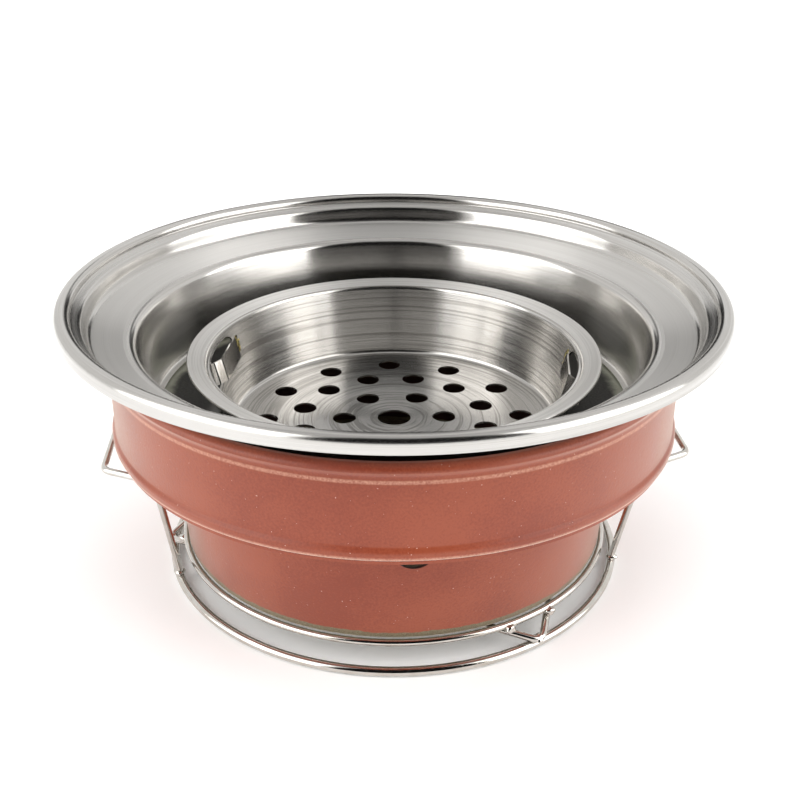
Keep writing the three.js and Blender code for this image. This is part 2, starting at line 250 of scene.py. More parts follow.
@dataclass
class Patchwork:
    """Grids of points that are welded into the mesh of one piece.

    Attributes:
        name: name of the piece.
        points: the points of each grid, in millimetres.
        faces: the four-sided faces of each grid.
        count: points so far.
    """

    name: str
    points: list[Array] = field(default_factory=list)
    faces: list[Array] = field(default_factory=list)
    count: int = 0

    def add(self, grid: Array, closed_rows: bool = False, closed_columns: bool = False) -> None:
        """Adds a grid of points, with a face between each four neighbours.

        Args:
            grid: (m, n, 3) points.
            closed_rows: the last row meets the first one.
            closed_columns: the last column meets the first one.
        """
        rows, columns = grid.shape[:2]
        index = self.count + np.arange(rows * columns).reshape(rows, columns)
        index = np.concatenate([index, index[:1]]) if closed_rows else index
        index = np.concatenate([index, index[:, :1]], axis=1) if closed_columns else index
        corners = [index[:-1, :-1], index[1:, :-1], index[1:, 1:], index[:-1, 1:]]
        self.faces.append(np.stack(corners, axis=2).reshape(-1, 4))
        self.points.append(grid.reshape(-1, 3))
        self.count += rows * columns

    def fan(self, ring: Array, hub: Sequence[float]) -> None:
        """Closes a ring of points with triangles that meet at a hub."""
        grid = np.stack([ring, np.broadcast_to(np.asarray(hub, float), ring.shape)], axis=1)
        self.add(grid, closed_rows=True)

    def welded(self, inside: Sequence[float] | None = None) -> Piece:
        """Makes the piece's object, with the points that coincide merged.

        Args:
            inside: a point that an open sheet's faces look away from; a closed solid needs none.

        Returns:
            The object, at the origin, with its place in its mesh.
        """
        mesh = bpy.data.meshes.new(self.name)
        points = np.concatenate(self.points) * MM
        mesh.from_pydata(points.tolist(), [], np.concatenate(self.faces).tolist())
        sheet = bmesh.new()
        sheet.from_mesh(mesh)
        bmesh.ops.remove_doubles(sheet, verts=sheet.verts, dist=MERGED_WITHIN)
        bmesh.ops.dissolve_degenerate(sheet, edges=sheet.edges, dist=NO_LONGER_THAN)
        bmesh.ops.recalc_face_normals(sheet, faces=sheet.faces)
        if inside is not None:
            hub = Vector(inside) * MM
            facing = sum(
                (face.calc_center_median() - hub).dot(face.normal) * face.calc_area()
                for face in sheet.faces
            )
        else:
            facing = sheet.calc_volume(signed=True)
        if facing < 0:
            bmesh.ops.reverse_faces(sheet, faces=sheet.faces)
        sheet.to_mesh(mesh)
        sheet.free()
        piece = bpy.data.objects.new(self.name, mesh)
        bpy.context.scene.collection.objects.link(piece)
        return piece


def smoothed(piece: Piece, sharpest: float = 32.0) -> None:
    """Shades a piece smoothly, apart from its sharp edges.

    Args:
        piece: the piece's object.
        sharpest: bend in degrees past which an edge stays sharp.
    """
    mesh = piece.data
    mesh.shade_smooth()
    mesh.set_sharp_from_angle(angle=math.radians(sharpest))


def given_wall(piece: Piece, thickness: float) -> None:
    """Gives an open sheet its thickness, away from the side that its faces look to.

    Args:
        piece: the sheet's object, whose mesh becomes the closed wall.
        thickness: thickness of the sheet, in millimetres.
    """
    wall = piece.modifiers.new("wall", "SOLIDIFY")
    wall.thickness = thickness * MM
    wall.offset = -1.0
    wall.use_even_offset = True
    wall.use_quality_normals = True
    apply_modifiers(piece)


def apply_modifiers(piece: Piece) -> None:
    """Puts the result of a piece's modifiers into its mesh.

    Args:
        piece: the piece's object.
    """
    bpy.context.view_layer.update()
    graph = bpy.context.evaluated_depsgraph_get()
    mesh = bpy.data.meshes.new_from_object(piece.evaluated_get(graph))
    piece.modifiers.clear()
    piece.data = mesh


@dataclass(frozen=True)
class Cell:
    """A hole in a sheet, and the part of the sheet's grid that goes round it.

    Attributes:
        first: grid column where the cell starts.
        columns: columns that it takes up.
        low: distance along the sheet's profile where it starts.
        high: distance where it ends.
        middle: distance of the hole's centre.
        outline: (n, 2) points of the hole about its centre: around the piece and along the profile.
    """

    first: int
    columns: int
    low: float
    high: float
    middle: float
    outline: Array


@dataclass(frozen=True)
class PiercedBand:
    """Band of a turned sheet, straight in its profile, with holes through it.

    Attributes:
        start: radius and height where the band starts.
        end: radius and height where it ends.
        segments: columns of the grid round the axis.
        offset: azimuth of the first column, in degrees.
        rows: rows of the grid beside a hole.
        rings: rings of faces between a hole and the edge of its cell.
        crowding: power that draws the rings towards the hole.
    """

    start: tuple[float, float]
    end: tuple[float, float]
    segments: int
    offset: float
    rows: int
    rings: int = 5
    crowding: float = 1.5

    @property
    def length(self) -> float:
        """Length of the band's profile."""
        return math.dist(self.start, self.end)

    def at(self, columns: Array, distance: Array) -> Array:
        """Points of the band.

        The azimuth is the offset plus the column's share of a turn, and radius and height run
        evenly from start to end.

        Args:
            columns: columns of the grid, which may be fractions.
            distance: distances along the profile.

        Returns:
            The points, with a last axis of three.
        """
        angle = np.radians(self.offset + 360.0 * columns / self.segments)
        share = distance / self.length
        radius = self.start[0] + (self.end[0] - self.start[0]) * share
        height = self.start[1] + (self.end[1] - self.start[1]) * share
        parts = np.broadcast_arrays(radius * np.cos(angle), radius * np.sin(angle), height)
        return np.stack(parts, axis=-1)

    def pierced(self, work: Patchwork, cells: Iterable[Cell]) -> None:
        """Adds the band to a piece, with a hole in each cell and a plain grid between cells.

        Round a hole, a line runs from each grid point on the cell's edge straight towards the
        hole's centre and ends where it meets the hole's outline.

        Args:
            work: the piece.
            cells: the holes. They share their low and high distances.
        """
        taken = np.zeros(self.segments, bool)
        for cell in cells:
            taken[np.arange(cell.first, cell.first + cell.columns) % self.segments] = True
            self._ring_of(work, cell)
            low, high = cell.low, cell.high
        steps = np.linspace(low, high, self.rows + 1)
        for column in np.flatnonzero(~taken):
            pair = np.array([column, column + 1.0])
            work.add(self.at(pair[:, None], steps[None, :]))
        for ends in ((0.0, low), (high, self.length)):
            if ends[1] - ends[0] > THINNEST_STRIP:
                work.add(self.at(np.arange(self.segments + 1.0)[:, None], np.array(ends)[None, :]))

    def _ring_of(self, work: Patchwork, cell: Cell) -> None:
        """Adds the faces between a hole's outline and the edge of its cell.

        Args:
            work: the piece.
            cell: the hole.
        """
        across = np.arange(cell.columns + 1.0)
        up = np.linspace(cell.low, cell.high, self.rows + 1)
        edge = np.concatenate([
            np.stack([across, np.full_like(across, cell.low)], axis=1)[:-1],
            np.stack([np.full_like(up, cell.columns), up], axis=1)[:-1],
            np.stack([across[::-1], np.full_like(across, cell.high)], axis=1)[:-1],
            np.stack([np.zeros_like(up), up[::-1]], axis=1)[:-1],
        ])
        share = cell.middle / self.length
        radius = self.start[0] + (self.end[0] - self.start[0]) * share
        pitch = 2 * math.pi * radius / self.segments
        centre = np.array([cell.columns / 2, cell.middle])
        away = (edge - centre) * (pitch, 1.0)
        angle = np.arctan2(away[:, 1], away[:, 0])
        rim = reach_of(cell.outline, angle)[:, None]
        rim = centre + rim * np.stack([np.cos(angle), np.sin(angle)], axis=1) / (pitch, 1.0)
        share = (np.arange(self.rings + 1) / self.rings)[None, :, None] ** self.crowding
        grid = rim[:, None] * (1 - share) + edge[:, None] * share
        work.add(self.at(cell.first + grid[..., 0], grid[..., 1]), closed_rows=True)


def circle(diameter: float, points: int = 180) -> Array:
    """Points of a circle about the origin."""
    angle = np.linspace(0.0, 2 * math.pi, points, endpoint=False)
    return diameter / 2 * np.stack([np.cos(angle), np.sin(angle)], axis=1)


# ---------------------------------------------------------------- node materials


class Graph:
    """A node tree in the making, with short ways to add its usual nodes."""

    def __init__(self, tree: bpy.types.NodeTree) -> None:
        """Takes the node tree."""
        self.nodes, self.links = tree.nodes, tree.links

    def node(
        self,
        kind: str,
        inputs: dict[str | int, object] | None = None,
        **settings: object,
    ) -> bpy.types.Node:
        """Adds a node.

        Args:
            kind: type of the node, without its ShaderNode prefix.
            inputs: a socket to link, or a value, for each input by name or index.
            **settings: properties of the node.

        Returns:
            The node.
        """
        node = self.nodes.new("ShaderNode" + kind)
        for key, value in settings.items():
            setattr(node, key, value)
        for key, value in (inputs or {}).items():
            self.put(value, node.inputs[key])
        return node

    def put(self, value: object, socket: Socket) -> None:
        """Links a socket to an input, or sets the input to a value.

        Args:
            value: the socket or the value.
            socket: the input.
        """
        if isinstance(value, Socket):
            self.links.new(value, socket)
        else:
            socket.default_value = value

    def math(self, operation: str, *terms: object) -> Socket:
        """Result of a Math node on some sockets or numbers."""
        return self.node("Math", dict(enumerate(terms)), operation=operation).outputs[0]

    def vector(self, operation: str, *terms: object) -> Socket:
        """Result of a Vector Math node; a dot product and a length are numbers."""
        node = self.node("VectorMath", dict(enumerate(terms)), operation=operation)
        return node.outputs["Value" if operation in ("DOT_PRODUCT", "LENGTH") else "Vector"]

    def parts(self, vector: object) -> tuple[Socket, ...]:
        """X, Y and Z of a vector."""
        return tuple(self.node("SeparateXYZ", {0: vector}).outputs)

    def eased(self, value: object, low: float, high: float) -> Socket:
        """0 at a low value, 1 at a high one, with a smooth run between."""
        inputs = {"Value": value, "From Min": low, "From Max": high}
        return self.node("MapRange", inputs, interpolation_type="SMOOTHSTEP").outputs[0]


class Recipe(Graph):
    """A node material in the making."""

    def __init__(self, name: str) -> None:
        """Starts a material that holds one principled shader.

        Args:
            name: name of the material.
        """
        self.material = bpy.data.materials.new(name)
        self.material.use_nodes = True
        super().__init__(self.material.node_tree)
        self.shader = self.nodes["Principled BSDF"]
        coordinates = self.node("TexCoord").outputs
        self.place = coordinates["Object"]
        self.normal = coordinates["Normal"]

    def noise(self, place: Socket, scale: float, detail: float = 2.0, rough: float = 0.5) -> Socket:
        """Value of a noise texture, from 0 to 1 with most of it near 0.5."""
        inputs = {"Vector": place, "Scale": scale, "Detail": detail, "Roughness": rough}
        return self.node("TexNoise", inputs).outputs["Fac"]

    def ranged(self, value: object, *bounds: float) -> Socket:
        """A value moved from a range (two bounds) to another (two more) and kept inside it."""
        return self.node("MapRange", dict(enumerate((value, *bounds)))).outputs[0]

    def spread(self, noise: Socket, low: float, high: float) -> Socket:
        """A noise whose usual values, 0.3 to 0.7, are spread over a range."""
        return self.ranged(noise, 0.3, 0.7, low, high)

    def patches(self, noise: Socket) -> Socket:
        """Soft patches, from 0 to 1, of a noise."""
        return self.ranged(noise, 0.35, 0.65, 0.0, 1.0)

    def mixed(self, share: object, first: object, second: object) -> Socket:
        """Blend of two colours by a share from 0 to 1."""
        return self.node("Mix", {0: share, 6: first, 7: second}, data_type="RGBA").outputs[2]

    def bumped(self, height: object, distance: float, strength: float = 1.0) -> Socket:
        """Normal of a surface with a height map of some millimetres on it."""
        inputs = {"Height": height, "Distance": distance * MM, "Strength": strength}
        return self.node("Bump", inputs).outputs[0]

    def finish(self, **sockets: object) -> Material:
        """Sets or links the shader's sockets, named with _ for a space, and gives the material."""
        for key, value in sockets.items():
            self.put(value, self.shader.inputs[key.replace("_", " ")])
        return self.material

    def turned_place(self) -> tuple[Socket, ...]:
        """Where a point lies on a turned piece.

        Returns:
            Its distance from the axis and its height, in millimetres, and the unit vector that
            points from the axis to it.
        """
        flat = self.vector("MULTIPLY", self.place, (1.0, 1.0, 0.0))
        radius = self.math("DIVIDE", self.vector("LENGTH", flat), MM)
        height = self.math("DIVIDE", self.parts(self.place)[2], MM)
        return radius, height, self.vector("NORMALIZE", flat)

    def tool_lines(self, place: Socket, breaks: float, density: float, rough: float) -> Socket:
        """Noise drawn out into circles about the axis.

        Args:
            place: unit vector outwards, with the distance along the section as its Z.
            breaks: how often a line breaks off along its circle.
            density: lines per millimetre of the section.
            rough: how much the finer detail counts.

        Returns:
            The noise.
        """
        place = self.vector("MULTIPLY", place, (breaks, breaks, density))
        return self.noise(place, 1.0, 2.0, rough)


def grey(level: float, warmth: float = 0.0) -> Colour:
    """Linear grey, warmed by more red and 1.6 times as much less blue."""
    return (level * (1 + warmth), level, level * (1 - 1.6 * warmth), 1.0)


@dataclass(frozen=True)
class SpunSteel:
    """Sheet steel polished in circles on the lathe.

    The tool's lines are circles about the axis: noise that changes quickly with radius and
    height and slowly along the circle, so a line fades in and out. They carry the roughness, the
    shine and a fine relief, and the gloss is drawn out across them.

    Attributes:
        name: name of the material.
        level: reflected share of the light.
        warmth: warmth of the grey.
        gloss: roughness of the polished lines.
        dull: roughness of the dull lines.
        lines: tool lines per millimetre of radius.
        wall_density: how many times as many there are per millimetre of height.
        relief: depth of the lines, in millimetres.
        drawn: how far the gloss is drawn out across the lines, from 0 to 1.
        satin: radii between which the sheet is left satin wherever it lies flat.
        satin_dull: roughness of the satin parts.
        satin_highlight_level: paler grey of the satin parts, a painted highlight on flats.
        satin_highlight_share: how far the satin parts take on that painted highlight, from 0 to 1.
        streaks: how dark the tool's dark lines are, from 0 to 1.
        scars: azimuth, radius and height of each patch that a cut has scorched.
        scar_size: how far a scar reaches, in millimetres.
        scorched: the two colours of a scar.
    """

    name: str
    level: float = 0.6
    warmth: float = 0.015
    gloss: float = 0.14
    dull: float = 0.24
    lines: float = 2.2
    wall_density: float = 1.3
    relief: float = 0.004
    drawn: float = 0.9
    satin: tuple[float, float] = (136.5, 162.0)
    satin_dull: float = 0.4
    satin_highlight_level: float = 0.74
    satin_highlight_share: float = 0.6
    streaks: float = 0.12
    scars: tuple[Place, ...] = ()
    scar_size: tuple[float, float] = (1.9, 2.9)
    scorched: tuple[Colour, Colour] = ((0.03, 0.024, 0.008, 1.0), (0.62, 0.52, 0.2, 1.0))

    def material(self) -> Material:
        """Builds the node material.

        Returns:
            The material.
        """
        recipe = Recipe(self.name)
        radius, height, outwards = recipe.turned_place()
        along = recipe.math("MULTIPLY_ADD", height, self.wall_density, radius)
        east, north, _ = recipe.parts(outwards)
        place = recipe.node("CombineXYZ", {0: east, 1: north, 2: along}).outputs[0]
        fine = recipe.tool_lines(place, 0.7, self.lines, 0.7)
        broad = recipe.tool_lines(place, 0.9, 0.22, 0.6)
        shine = recipe.math("ADD", recipe.spread(fine, 0.0, 0.6), recipe.spread(broad, 0.0, 0.4))
        satin = self.satin_parts(recipe, radius)
        scar = self.scarred(recipe)
        polished = recipe.ranged(shine, 0.0, 1.0, self.gloss, self.dull)
        duller = recipe.math("SUBTRACT", self.satin_dull, polished)
        roughness = recipe.math("MULTIPLY_ADD", duller, satin, polished)
        colour = self.toned(recipe, place, shine)
        # Painted highlight: flat, upward-facing satin parts are lifted to a paler grey; their
        # roughness is the satin finish.
        pale = recipe.math("MULTIPLY", satin, self.satin_highlight_share)
        colour = recipe.mixed(pale, colour, grey(self.satin_highlight_level, self.warmth))
        speckle = recipe.ranged(recipe.noise(recipe.place, 900.0), 0.42, 0.58, 0.0, 1.0)
        colour = recipe.mixed(scar, colour, recipe.mixed(speckle, *self.scorched))
        recipe.finish(Anisotropic=self.drawn, Anisotropic_Rotation=0.25, Metallic=1.0)
        return recipe.finish(
            Base_Color=colour,
            Roughness=recipe.math("MAXIMUM", roughness, recipe.math("MULTIPLY", scar, 0.5)),
            Tangent=recipe.vector("CROSS_PRODUCT", outwards, (0.0, 0.0, 1.0)),
            Normal=recipe.bumped(fine, self.relief),
        )

    def satin_parts(self, recipe: Recipe, radius: Socket) -> Socket:
        """Share of satin: 1 where the sheet lies flat between the two radii, 0 elsewhere.

        Args:
            recipe: the material in the making.
            radius: distance from the axis, in millimetres.

        Returns:
            The share.
        """
        inwards = recipe.math("SUBTRACT", radius, self.satin[0])
        outwards = recipe.math("SUBTRACT", self.satin[1], radius)
        between = recipe.eased(recipe.math("MINIMUM", inwards, outwards), -0.4, 0.6)
        flat = recipe.eased(recipe.parts(recipe.normal)[2], 0.86, 0.95)
        return recipe.math("MULTIPLY", between, flat)

    def toned(self, recipe: Recipe, place: Socket, shine: Socket) -> Socket:
        """Colour of the metal under its satin and scars: soiled, and streaked by the tool.

        Args:
            recipe: the material in the making.
            place: unit vector outwards, with the distance along the section as its Z.
            shine: how dull the metal is, from 0 to 1.

        Returns:
            The colour.
        """
        soil = recipe.noise(recipe.place, 22.0, 4.0, 0.6)
        tone = recipe.math("MULTIPLY", shine, -0.14)
        tone = recipe.math("ADD", tone, recipe.math("MULTIPLY", soil, 0.08))
        deep = grey(self.level * 0.8, self.warmth * 2)
        light = grey(self.level * 1.04, self.warmth)
        colour = recipe.mixed(recipe.ranged(tone, -0.1, 0.05, 0.0, 1.0), deep, light)
        strip = recipe.tool_lines(place, 0.5, 0.6, 0.7)
        streak = recipe.math("MULTIPLY", recipe.ranged(strip, 0.52, 0.58, 0.0, 1.0), self.streaks)
        return recipe.mixed(streak, colour, grey(0.12, 0.1))

    def scarred(self, recipe: Recipe) -> object:
        """Share of scorched metal: 1 in each scar, with a ragged edge, and 0 elsewhere.

        Args:
            recipe: the material in the making.

        Returns:
            The share, a plain 0 where there are no scars.
        """
        share: object = 0.0
        ragged = recipe.spread(recipe.noise(recipe.place, 500.0), -1.2, 1.2)
        for azimuth, radius, height in self.scars:
            turn = math.radians(azimuth)
            centre = (radius * math.cos(turn) * MM, radius * math.sin(turn) * MM, height * MM)
            away = recipe.vector("SUBTRACT", recipe.place, centre)
            away = recipe.vector("MULTIPLY", away, (1 / MM, 1 / MM, 0.42 / MM))
            distance = recipe.math("ADD", recipe.vector("LENGTH", away), ragged)
            share = recipe.math("MAXIMUM", share, recipe.eased(distance, *self.scar_size[::-1]))
        return share


@dataclass(frozen=True)
class Enamel:
    """Fired enamel on sheet iron: a glossy coat with a fine grain and bare iron at one edge.

    The coat's colour drifts in wide soft patches, its surface has the fine dimples of a sprayed
    coat, and the iron shows below a wandering line.

    Attributes:
        name: name of the material.
        bare_below: height of the line under which the iron shows, in millimetres.
        thin_coat_highlights: height and half width of each line where the coat is drawn thin
        and a highlight is painted.
        body: the coat's colour.
        thin: its colour where the coat is thin.
        edge: pale colour along those lines, partly the thin coat over a roll or a bead and
        partly a painted highlight.
        inside: painted shade, near black, on the drum's inner faces and floor in place of the red
            coat.
        painted_glint: colour of painted glints, pale specks scattered over the coat.
        iron: the two colours of the bare iron.
        floor_radius: radius within which faces that look upwards take the painted shade, in
            millimetres.
    """

    name: str
    bare_below: float = -10.0
    thin_coat_highlights: tuple[tuple[float, float], ...] = ()
    body: Colour = (0.215, 0.032, 0.010, 1.0)
    thin: Colour = (0.285, 0.056, 0.021, 1.0)
    edge: Colour = (0.60, 0.31, 0.21, 1.0)
    inside: Colour = (0.035, 0.008, 0.005, 1.0)
    painted_glint: Colour = (0.85, 0.62, 0.52, 1.0)
    iron: tuple[Colour, Colour] = ((0.09, 0.07, 0.035, 1.0), (0.2, 0.17, 0.1, 1.0))
    floor_radius: float = 120.0

    def material(self) -> Material:
        """Builds the node material.

        Returns:
            The material.
        """
        recipe = Recipe(self.name)
        radius, height, outwards = recipe.turned_place()
        dimples = recipe.noise(recipe.place, 900.0, 2.0, 0.6)
        specks = recipe.noise(recipe.place, 2600.0, 1.0, 0.5)
        wander = recipe.noise(recipe.place, 60.0, 4.0, 0.65)
        line = recipe.math("ADD", height, recipe.spread(wander, -0.7, 0.7))
        coated = recipe.eased(line, self.bare_below - 0.25, self.bare_below + 0.25)
        iron = recipe.mixed(recipe.patches(specks), *self.iron)
        # Painted shade: faces that look inwards, and upward faces within the floor radius, go near
        # black.
        facing = recipe.vector("DOT_PRODUCT", recipe.normal, outwards)
        upright = recipe.parts(recipe.normal)[2]
        within = recipe.eased(radius, self.floor_radius, self.floor_radius - 2.0)
        floor = recipe.math("MULTIPLY", recipe.eased(upright, 0.5, 0.8), within)
        inner = recipe.math("MAXIMUM", recipe.eased(facing, -0.3, -0.6), floor)
        coat = recipe.mixed(inner, self.coat(recipe, height, dimples), self.inside)
        recipe.finish(Coat_Weight=0.12, Coat_Roughness=0.25, Specular_IOR_Level=0.35)
        recipe.finish(Sheen_Weight=1.0, Sheen_Roughness=0.38, Sheen_Tint=(1.0, 0.86, 0.76, 1.0))
        return recipe.finish(
            Base_Color=recipe.mixed(coated, iron, coat),
            Roughness=recipe.spread(dimples, 0.32, 0.5),
            Normal=recipe.bumped(dimples, 0.1, 0.8),
        )

    def coat(self, recipe: Recipe, height: Socket, dimples: Socket) -> Socket:
        """Colour of the coat outside.

        Args:
            recipe: the material in the making.
            height: height above the floor, in millimetres.
            dimples: the coat's fine grain.

        Returns:
            The colour.
        """
        drift = recipe.patches(recipe.noise(recipe.place, 16.0, 3.0, 0.55))
        tone = recipe.math("MULTIPLY_ADD", recipe.spread(dimples, -0.5, 0.5), 0.9, drift)
        coat = recipe.mixed(recipe.ranged(tone, 0.0, 1.0, 0.0, 1.0), self.body, self.thin)
        # Painted glints: scattered specks of the coat are mixed towards a pale colour.
        sparkle_specks = recipe.noise(recipe.place, 1300.0, 0.0)
        coat = recipe.mixed(recipe.ranged(sparkle_specks, 0.855, 0.875, 0.0, 0.6), coat, self.painted_glint)
        # Pale lines along the bead and the rim: partly thin coat, partly a painted highlight.
        for middle, half in self.thin_coat_highlights:
            away = recipe.math("ABSOLUTE", recipe.math("SUBTRACT", height, middle))
            patchy_share = recipe.spread(dimples, 0.2, 0.75)
            share = recipe.math("MULTIPLY", recipe.eased(away, half, half * 0.3), patchy_share)
            coat = recipe.mixed(share, coat, self.edge)
        return coat


@dataclass(frozen=True)
class PressedSteel:
    """Plain pressed sheet, greenish grey and cloudy, with painted shade under the pan's flange.

    Attributes:
        name: name of the material.
        painted_shade_within: radius within which shade is painted onto the sheet, in millimetres.
        clean: the sheet's colour.
        painted_shade_colour: the near-black colour of that painted shade.
    """

    name: str
    painted_shade_within: float = 119.0
    clean: Colour = (0.34, 0.35, 0.28, 1.0)
    painted_shade_colour: Colour = (0.012, 0.011, 0.009, 1.0)

    def material(self) -> Material:
        """Builds the node material.

        Returns:
            The material.
        """
        recipe = Recipe(self.name)
        radius, _, _ = recipe.turned_place()
        cloud = recipe.noise(recipe.place, 45.0, 4.0, 0.6)
        grain = recipe.noise(recipe.place, 900.0, 2.0, 0.6)
        # Painted shade: inside a ragged radius the sheet goes near black, where the pan's flange
        # shades it.
        edge = recipe.math("ADD", radius, recipe.spread(cloud, -2.5, 2.5))
        painted_shade_share = recipe.eased(edge, self.painted_shade_within + 3.0, self.painted_shade_within - 3.0)
        steel = recipe.mixed(recipe.spread(cloud, 0.0, 0.35), self.clean, grey(0.2, 0.06))
        recipe.finish(Metallic=0.85)
        return recipe.finish(
            Base_Color=recipe.mixed(painted_shade_share, steel, self.painted_shade_colour),
            Roughness=recipe.spread(grain, 0.34, 0.52),
            Normal=recipe.bumped(grain, 0.02, 0.5),
        )


@dataclass(frozen=True)
class FoldedSteel:
    """Folded strip, paler than the pan as a painted highlight, with painted shade down each fold.

    Attributes:
        name: name of the material.
        azimuth: azimuth of the strip's middle, in degrees.
        side: side that its folded end points to, 1 towards larger azimuths.
        folds: how far each fold lies from the strip's middle, in millimetres.
        fold_shade_width: width of the painted shade line down a fold.
    """

    name: str
    azimuth: float
    side: int
    folds: tuple[float, float] = (5.6, 11.6)
    fold_shade_width: float = 0.55

    def material(self) -> Material:
        """Builds the node material.

        Returns:
            The material.
        """
        recipe = Recipe(self.name)
        turn = math.radians(self.azimuth)
        across = (-self.side * math.sin(turn) / MM, self.side * math.cos(turn) / MM, 0.0)
        along = recipe.vector("DOT_PRODUCT", recipe.place, across)
        # Painted shade: a near-black line down each fold, where the crease shades itself.
        line: object = 0.0
        for fold in self.folds:
            distance = recipe.math("ABSOLUTE", recipe.math("SUBTRACT", along, fold))
            near = recipe.eased(distance, self.fold_shade_width, self.fold_shade_width / 2)
            line = recipe.math("MAXIMUM", line, near)
        drawn = recipe.vector("MULTIPLY", recipe.place, (1.0, 1.0, 0.3))
        cloud = recipe.noise(drawn, 160.0, 3.0, 0.6)
        # Painted highlight: the steel is set paler than the pan's, so its facets read bright.
        steel = recipe.mixed(recipe.patches(cloud), grey(0.85, 0.02), grey(0.6, 0.04))
        recipe.finish(Metallic=1.0)
        return recipe.finish(
            Base_Color=recipe.mixed(line, steel, grey(0.015)),
            Roughness=recipe.spread(cloud, 0.06, 0.2),
            Normal=recipe.bumped(cloud, 0.12, 0.5),
        )


@dataclass(frozen=True)
class PolishedWire:
    """Bright drawn wire with faint clouding and small dull spots.

    Attributes:
        name: name of the material.
        level: reflected share of the light.
    """

    name: str
    level: float = 0.62

    def material(self) -> Material:
        """Builds the node material.

        Returns:
            The material.
        """
        recipe = Recipe(self.name)
        cloud = recipe.noise(recipe.place, 90.0, 3.0, 0.6)
        spots = recipe.noise(recipe.place, 700.0, 2.0, 0.5)
        spotted = recipe.ranged(spots, 0.55, 0.8, 0.0, 0.15)
        dull = recipe.math("ADD", recipe.spread(cloud, 0.04, 0.15), spotted)
        bright, clouded = grey(self.level, 0.03), grey(self.level * 0.8, 0.06)
        colour = recipe.mixed(recipe.spread(cloud, 0.0, 1.0), bright, clouded)
        recipe.finish(Metallic=1.0)
        return recipe.finish(
            Base_Color=colour,
            Roughness=dull,
            Normal=recipe.bumped(spots, 0.01, 0.3),
        )


# ---------------------------------------------------------------- the brazier's pieces


def dressed(
    piece: Piece,
    body: Body,
    finish: Material,
    node: str | None = None,
) -> None:
    """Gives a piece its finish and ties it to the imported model.

    Args:
        piece: the piece's object.
        body: body that it rides on.
        finish: its material.
        node: the CAD node that it stands for, if it does.
    """
    piece.data.materials.clear()
    piece.data.materials.append(finish)
    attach(piece, body.value)
    if node is not None:
        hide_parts(node)
    log.info("%s rides on %s: %d faces", piece.name, body.value, len(piece.data.polygons))


def lowest(node: str) -> float:
    """Height of a CAD node's lowest point, in millimetres."""
    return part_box(node)[0].z / MM


def turned_piece(name: str, section: Array, foot: float) -> Piece:
    """Solid of revolution of a closed section.

    Args:
        name: name of the piece.
        section: (n, 2) radii and heights of the section.
        foot: height that it is raised to, in millimetres.

    Returns:
        The piece's object.
    """
    work = Patchwork(name)
    azimuths = np.linspace(0.0, 360.0, SEGMENTS, endpoint=False)
    work.add(around(section + (0.0, foot), azimuths), closed_rows=True, closed_columns=True)
    piece = work.welded()
    smoothed(piece)
    return piece


@dataclass
class Collar:
    """Wide spun rim: a leaning wall, a bead, a ledge, a riser, a step and a rolled brim.

    Sizes are in millimetres. The bow of the wall is the share of its lean at its middle, where a
    straight wall would have a half.
    """

    foot_radius: float = 127.0
    sheet: float = 1.0
    lip: float = 3.6
    wall_height: float = 41.4
    wall_lean: float = 5.7
    wall_bow: float = 0.12
    wall_bow_radius: float = 140.0
    bead_width: float = 5.6
    bead_round: float = 4.6
    bead_rise: float = 0.5
    ledge_width: float = 17.3
    ledge_rise: float = 5.0
    riser_height: float = 8.0
    riser_lean: float = 1.6
    step_width: float = 5.0
    step_rise: float = 2.4
    brim_width: float = 7.8
    brim_height: float = 4.3
    brim_round: float = 3.2
    brim_skirt: float = 7.4
    soft_bend: float = 1.5
    riser_foot_bend: float = 4.6
    riser_top_bend: float = 3.2
    ledge_bend: float = 0.6
    brim_foot_bend: float = 0.5
    longest_run: float = 3.0

    def face(self) -> Array:
        """Inner and upper face of the collar's section, from its foot to its skirt.

        Returns:
            The (n, 2) radii and heights of its points.
        """
        bead = self.foot_radius + self.wall_lean
        ledge = bead + self.bead_width
        riser = ledge + self.ledge_width
        step = riser + self.riser_lean
        brim = step + self.step_width
        outer = brim + self.brim_width
        ledge_low = self.wall_height + self.bead_rise
        ledge_high = ledge_low + self.ledge_rise
        step_low = ledge_high + self.riser_height
        step_high = step_low + self.step_rise
        crest = step_high + self.brim_height
        bow = self.foot_radius + self.wall_lean * self.wall_bow
        return bent_outline([
            (self.foot_radius - self.lip, self.sheet),
            (self.foot_radius, self.sheet, self.soft_bend),
            (bow, self.wall_height / 2, self.wall_bow_radius),
            (bead, self.wall_height, self.bead_round),
            (ledge, ledge_low, self.ledge_bend),
            (riser, ledge_high, self.riser_foot_bend),
            (step, step_low, self.riser_top_bend),
            (brim, step_high, self.brim_foot_bend),
            (brim, crest, self.brim_round),
            (outer, crest, self.brim_round),
            (outer, crest - self.brim_skirt),
        ])

    def build(self, finish: Material) -> None:
        """Makes and dresses the collar.

        Args:
            finish: its material.
        """
        section = sheet_section(refined(self.face(), self.longest_run), self.sheet)
        piece = turned_piece("spun_collar", section, lowest("collar"))
        dressed(piece, Body.COLLAR, finish, "collar")


@dataclass
class Carrier:
    """Pressed ring inside the band, with the hole that the pan hangs in.

    Sizes are in millimetres.
    """

    radius: float = 141.2
    height: float = 7.8
    bend: float = 1.6
    sheet: float = 1.0
    hole_top: float = 92.44
    hole_foot: float = 91.42
    inner_lip: float = 4.2
    lip_bend: float = 0.4
    longest_run: float = 4.0

    def build(self, finish: Material) -> None:
        """Makes and dresses the carrier ring.

        Args:
            finish: its material.
        """
        top = bent_outline([
            (self.radius, 0.0),
            (self.radius, self.height, self.bend + self.sheet),
            (self.hole_top, self.height, self.lip_bend),
            (self.hole_foot, self.height - self.inner_lip),
        ])
        section = sheet_section(refined(top, self.longest_run), -self.sheet)
        piece = turned_piece("pressed_carrier", section, lowest("carrier_ring"))
        dressed(piece, Body.CARRIER, finish, "carrier_ring")


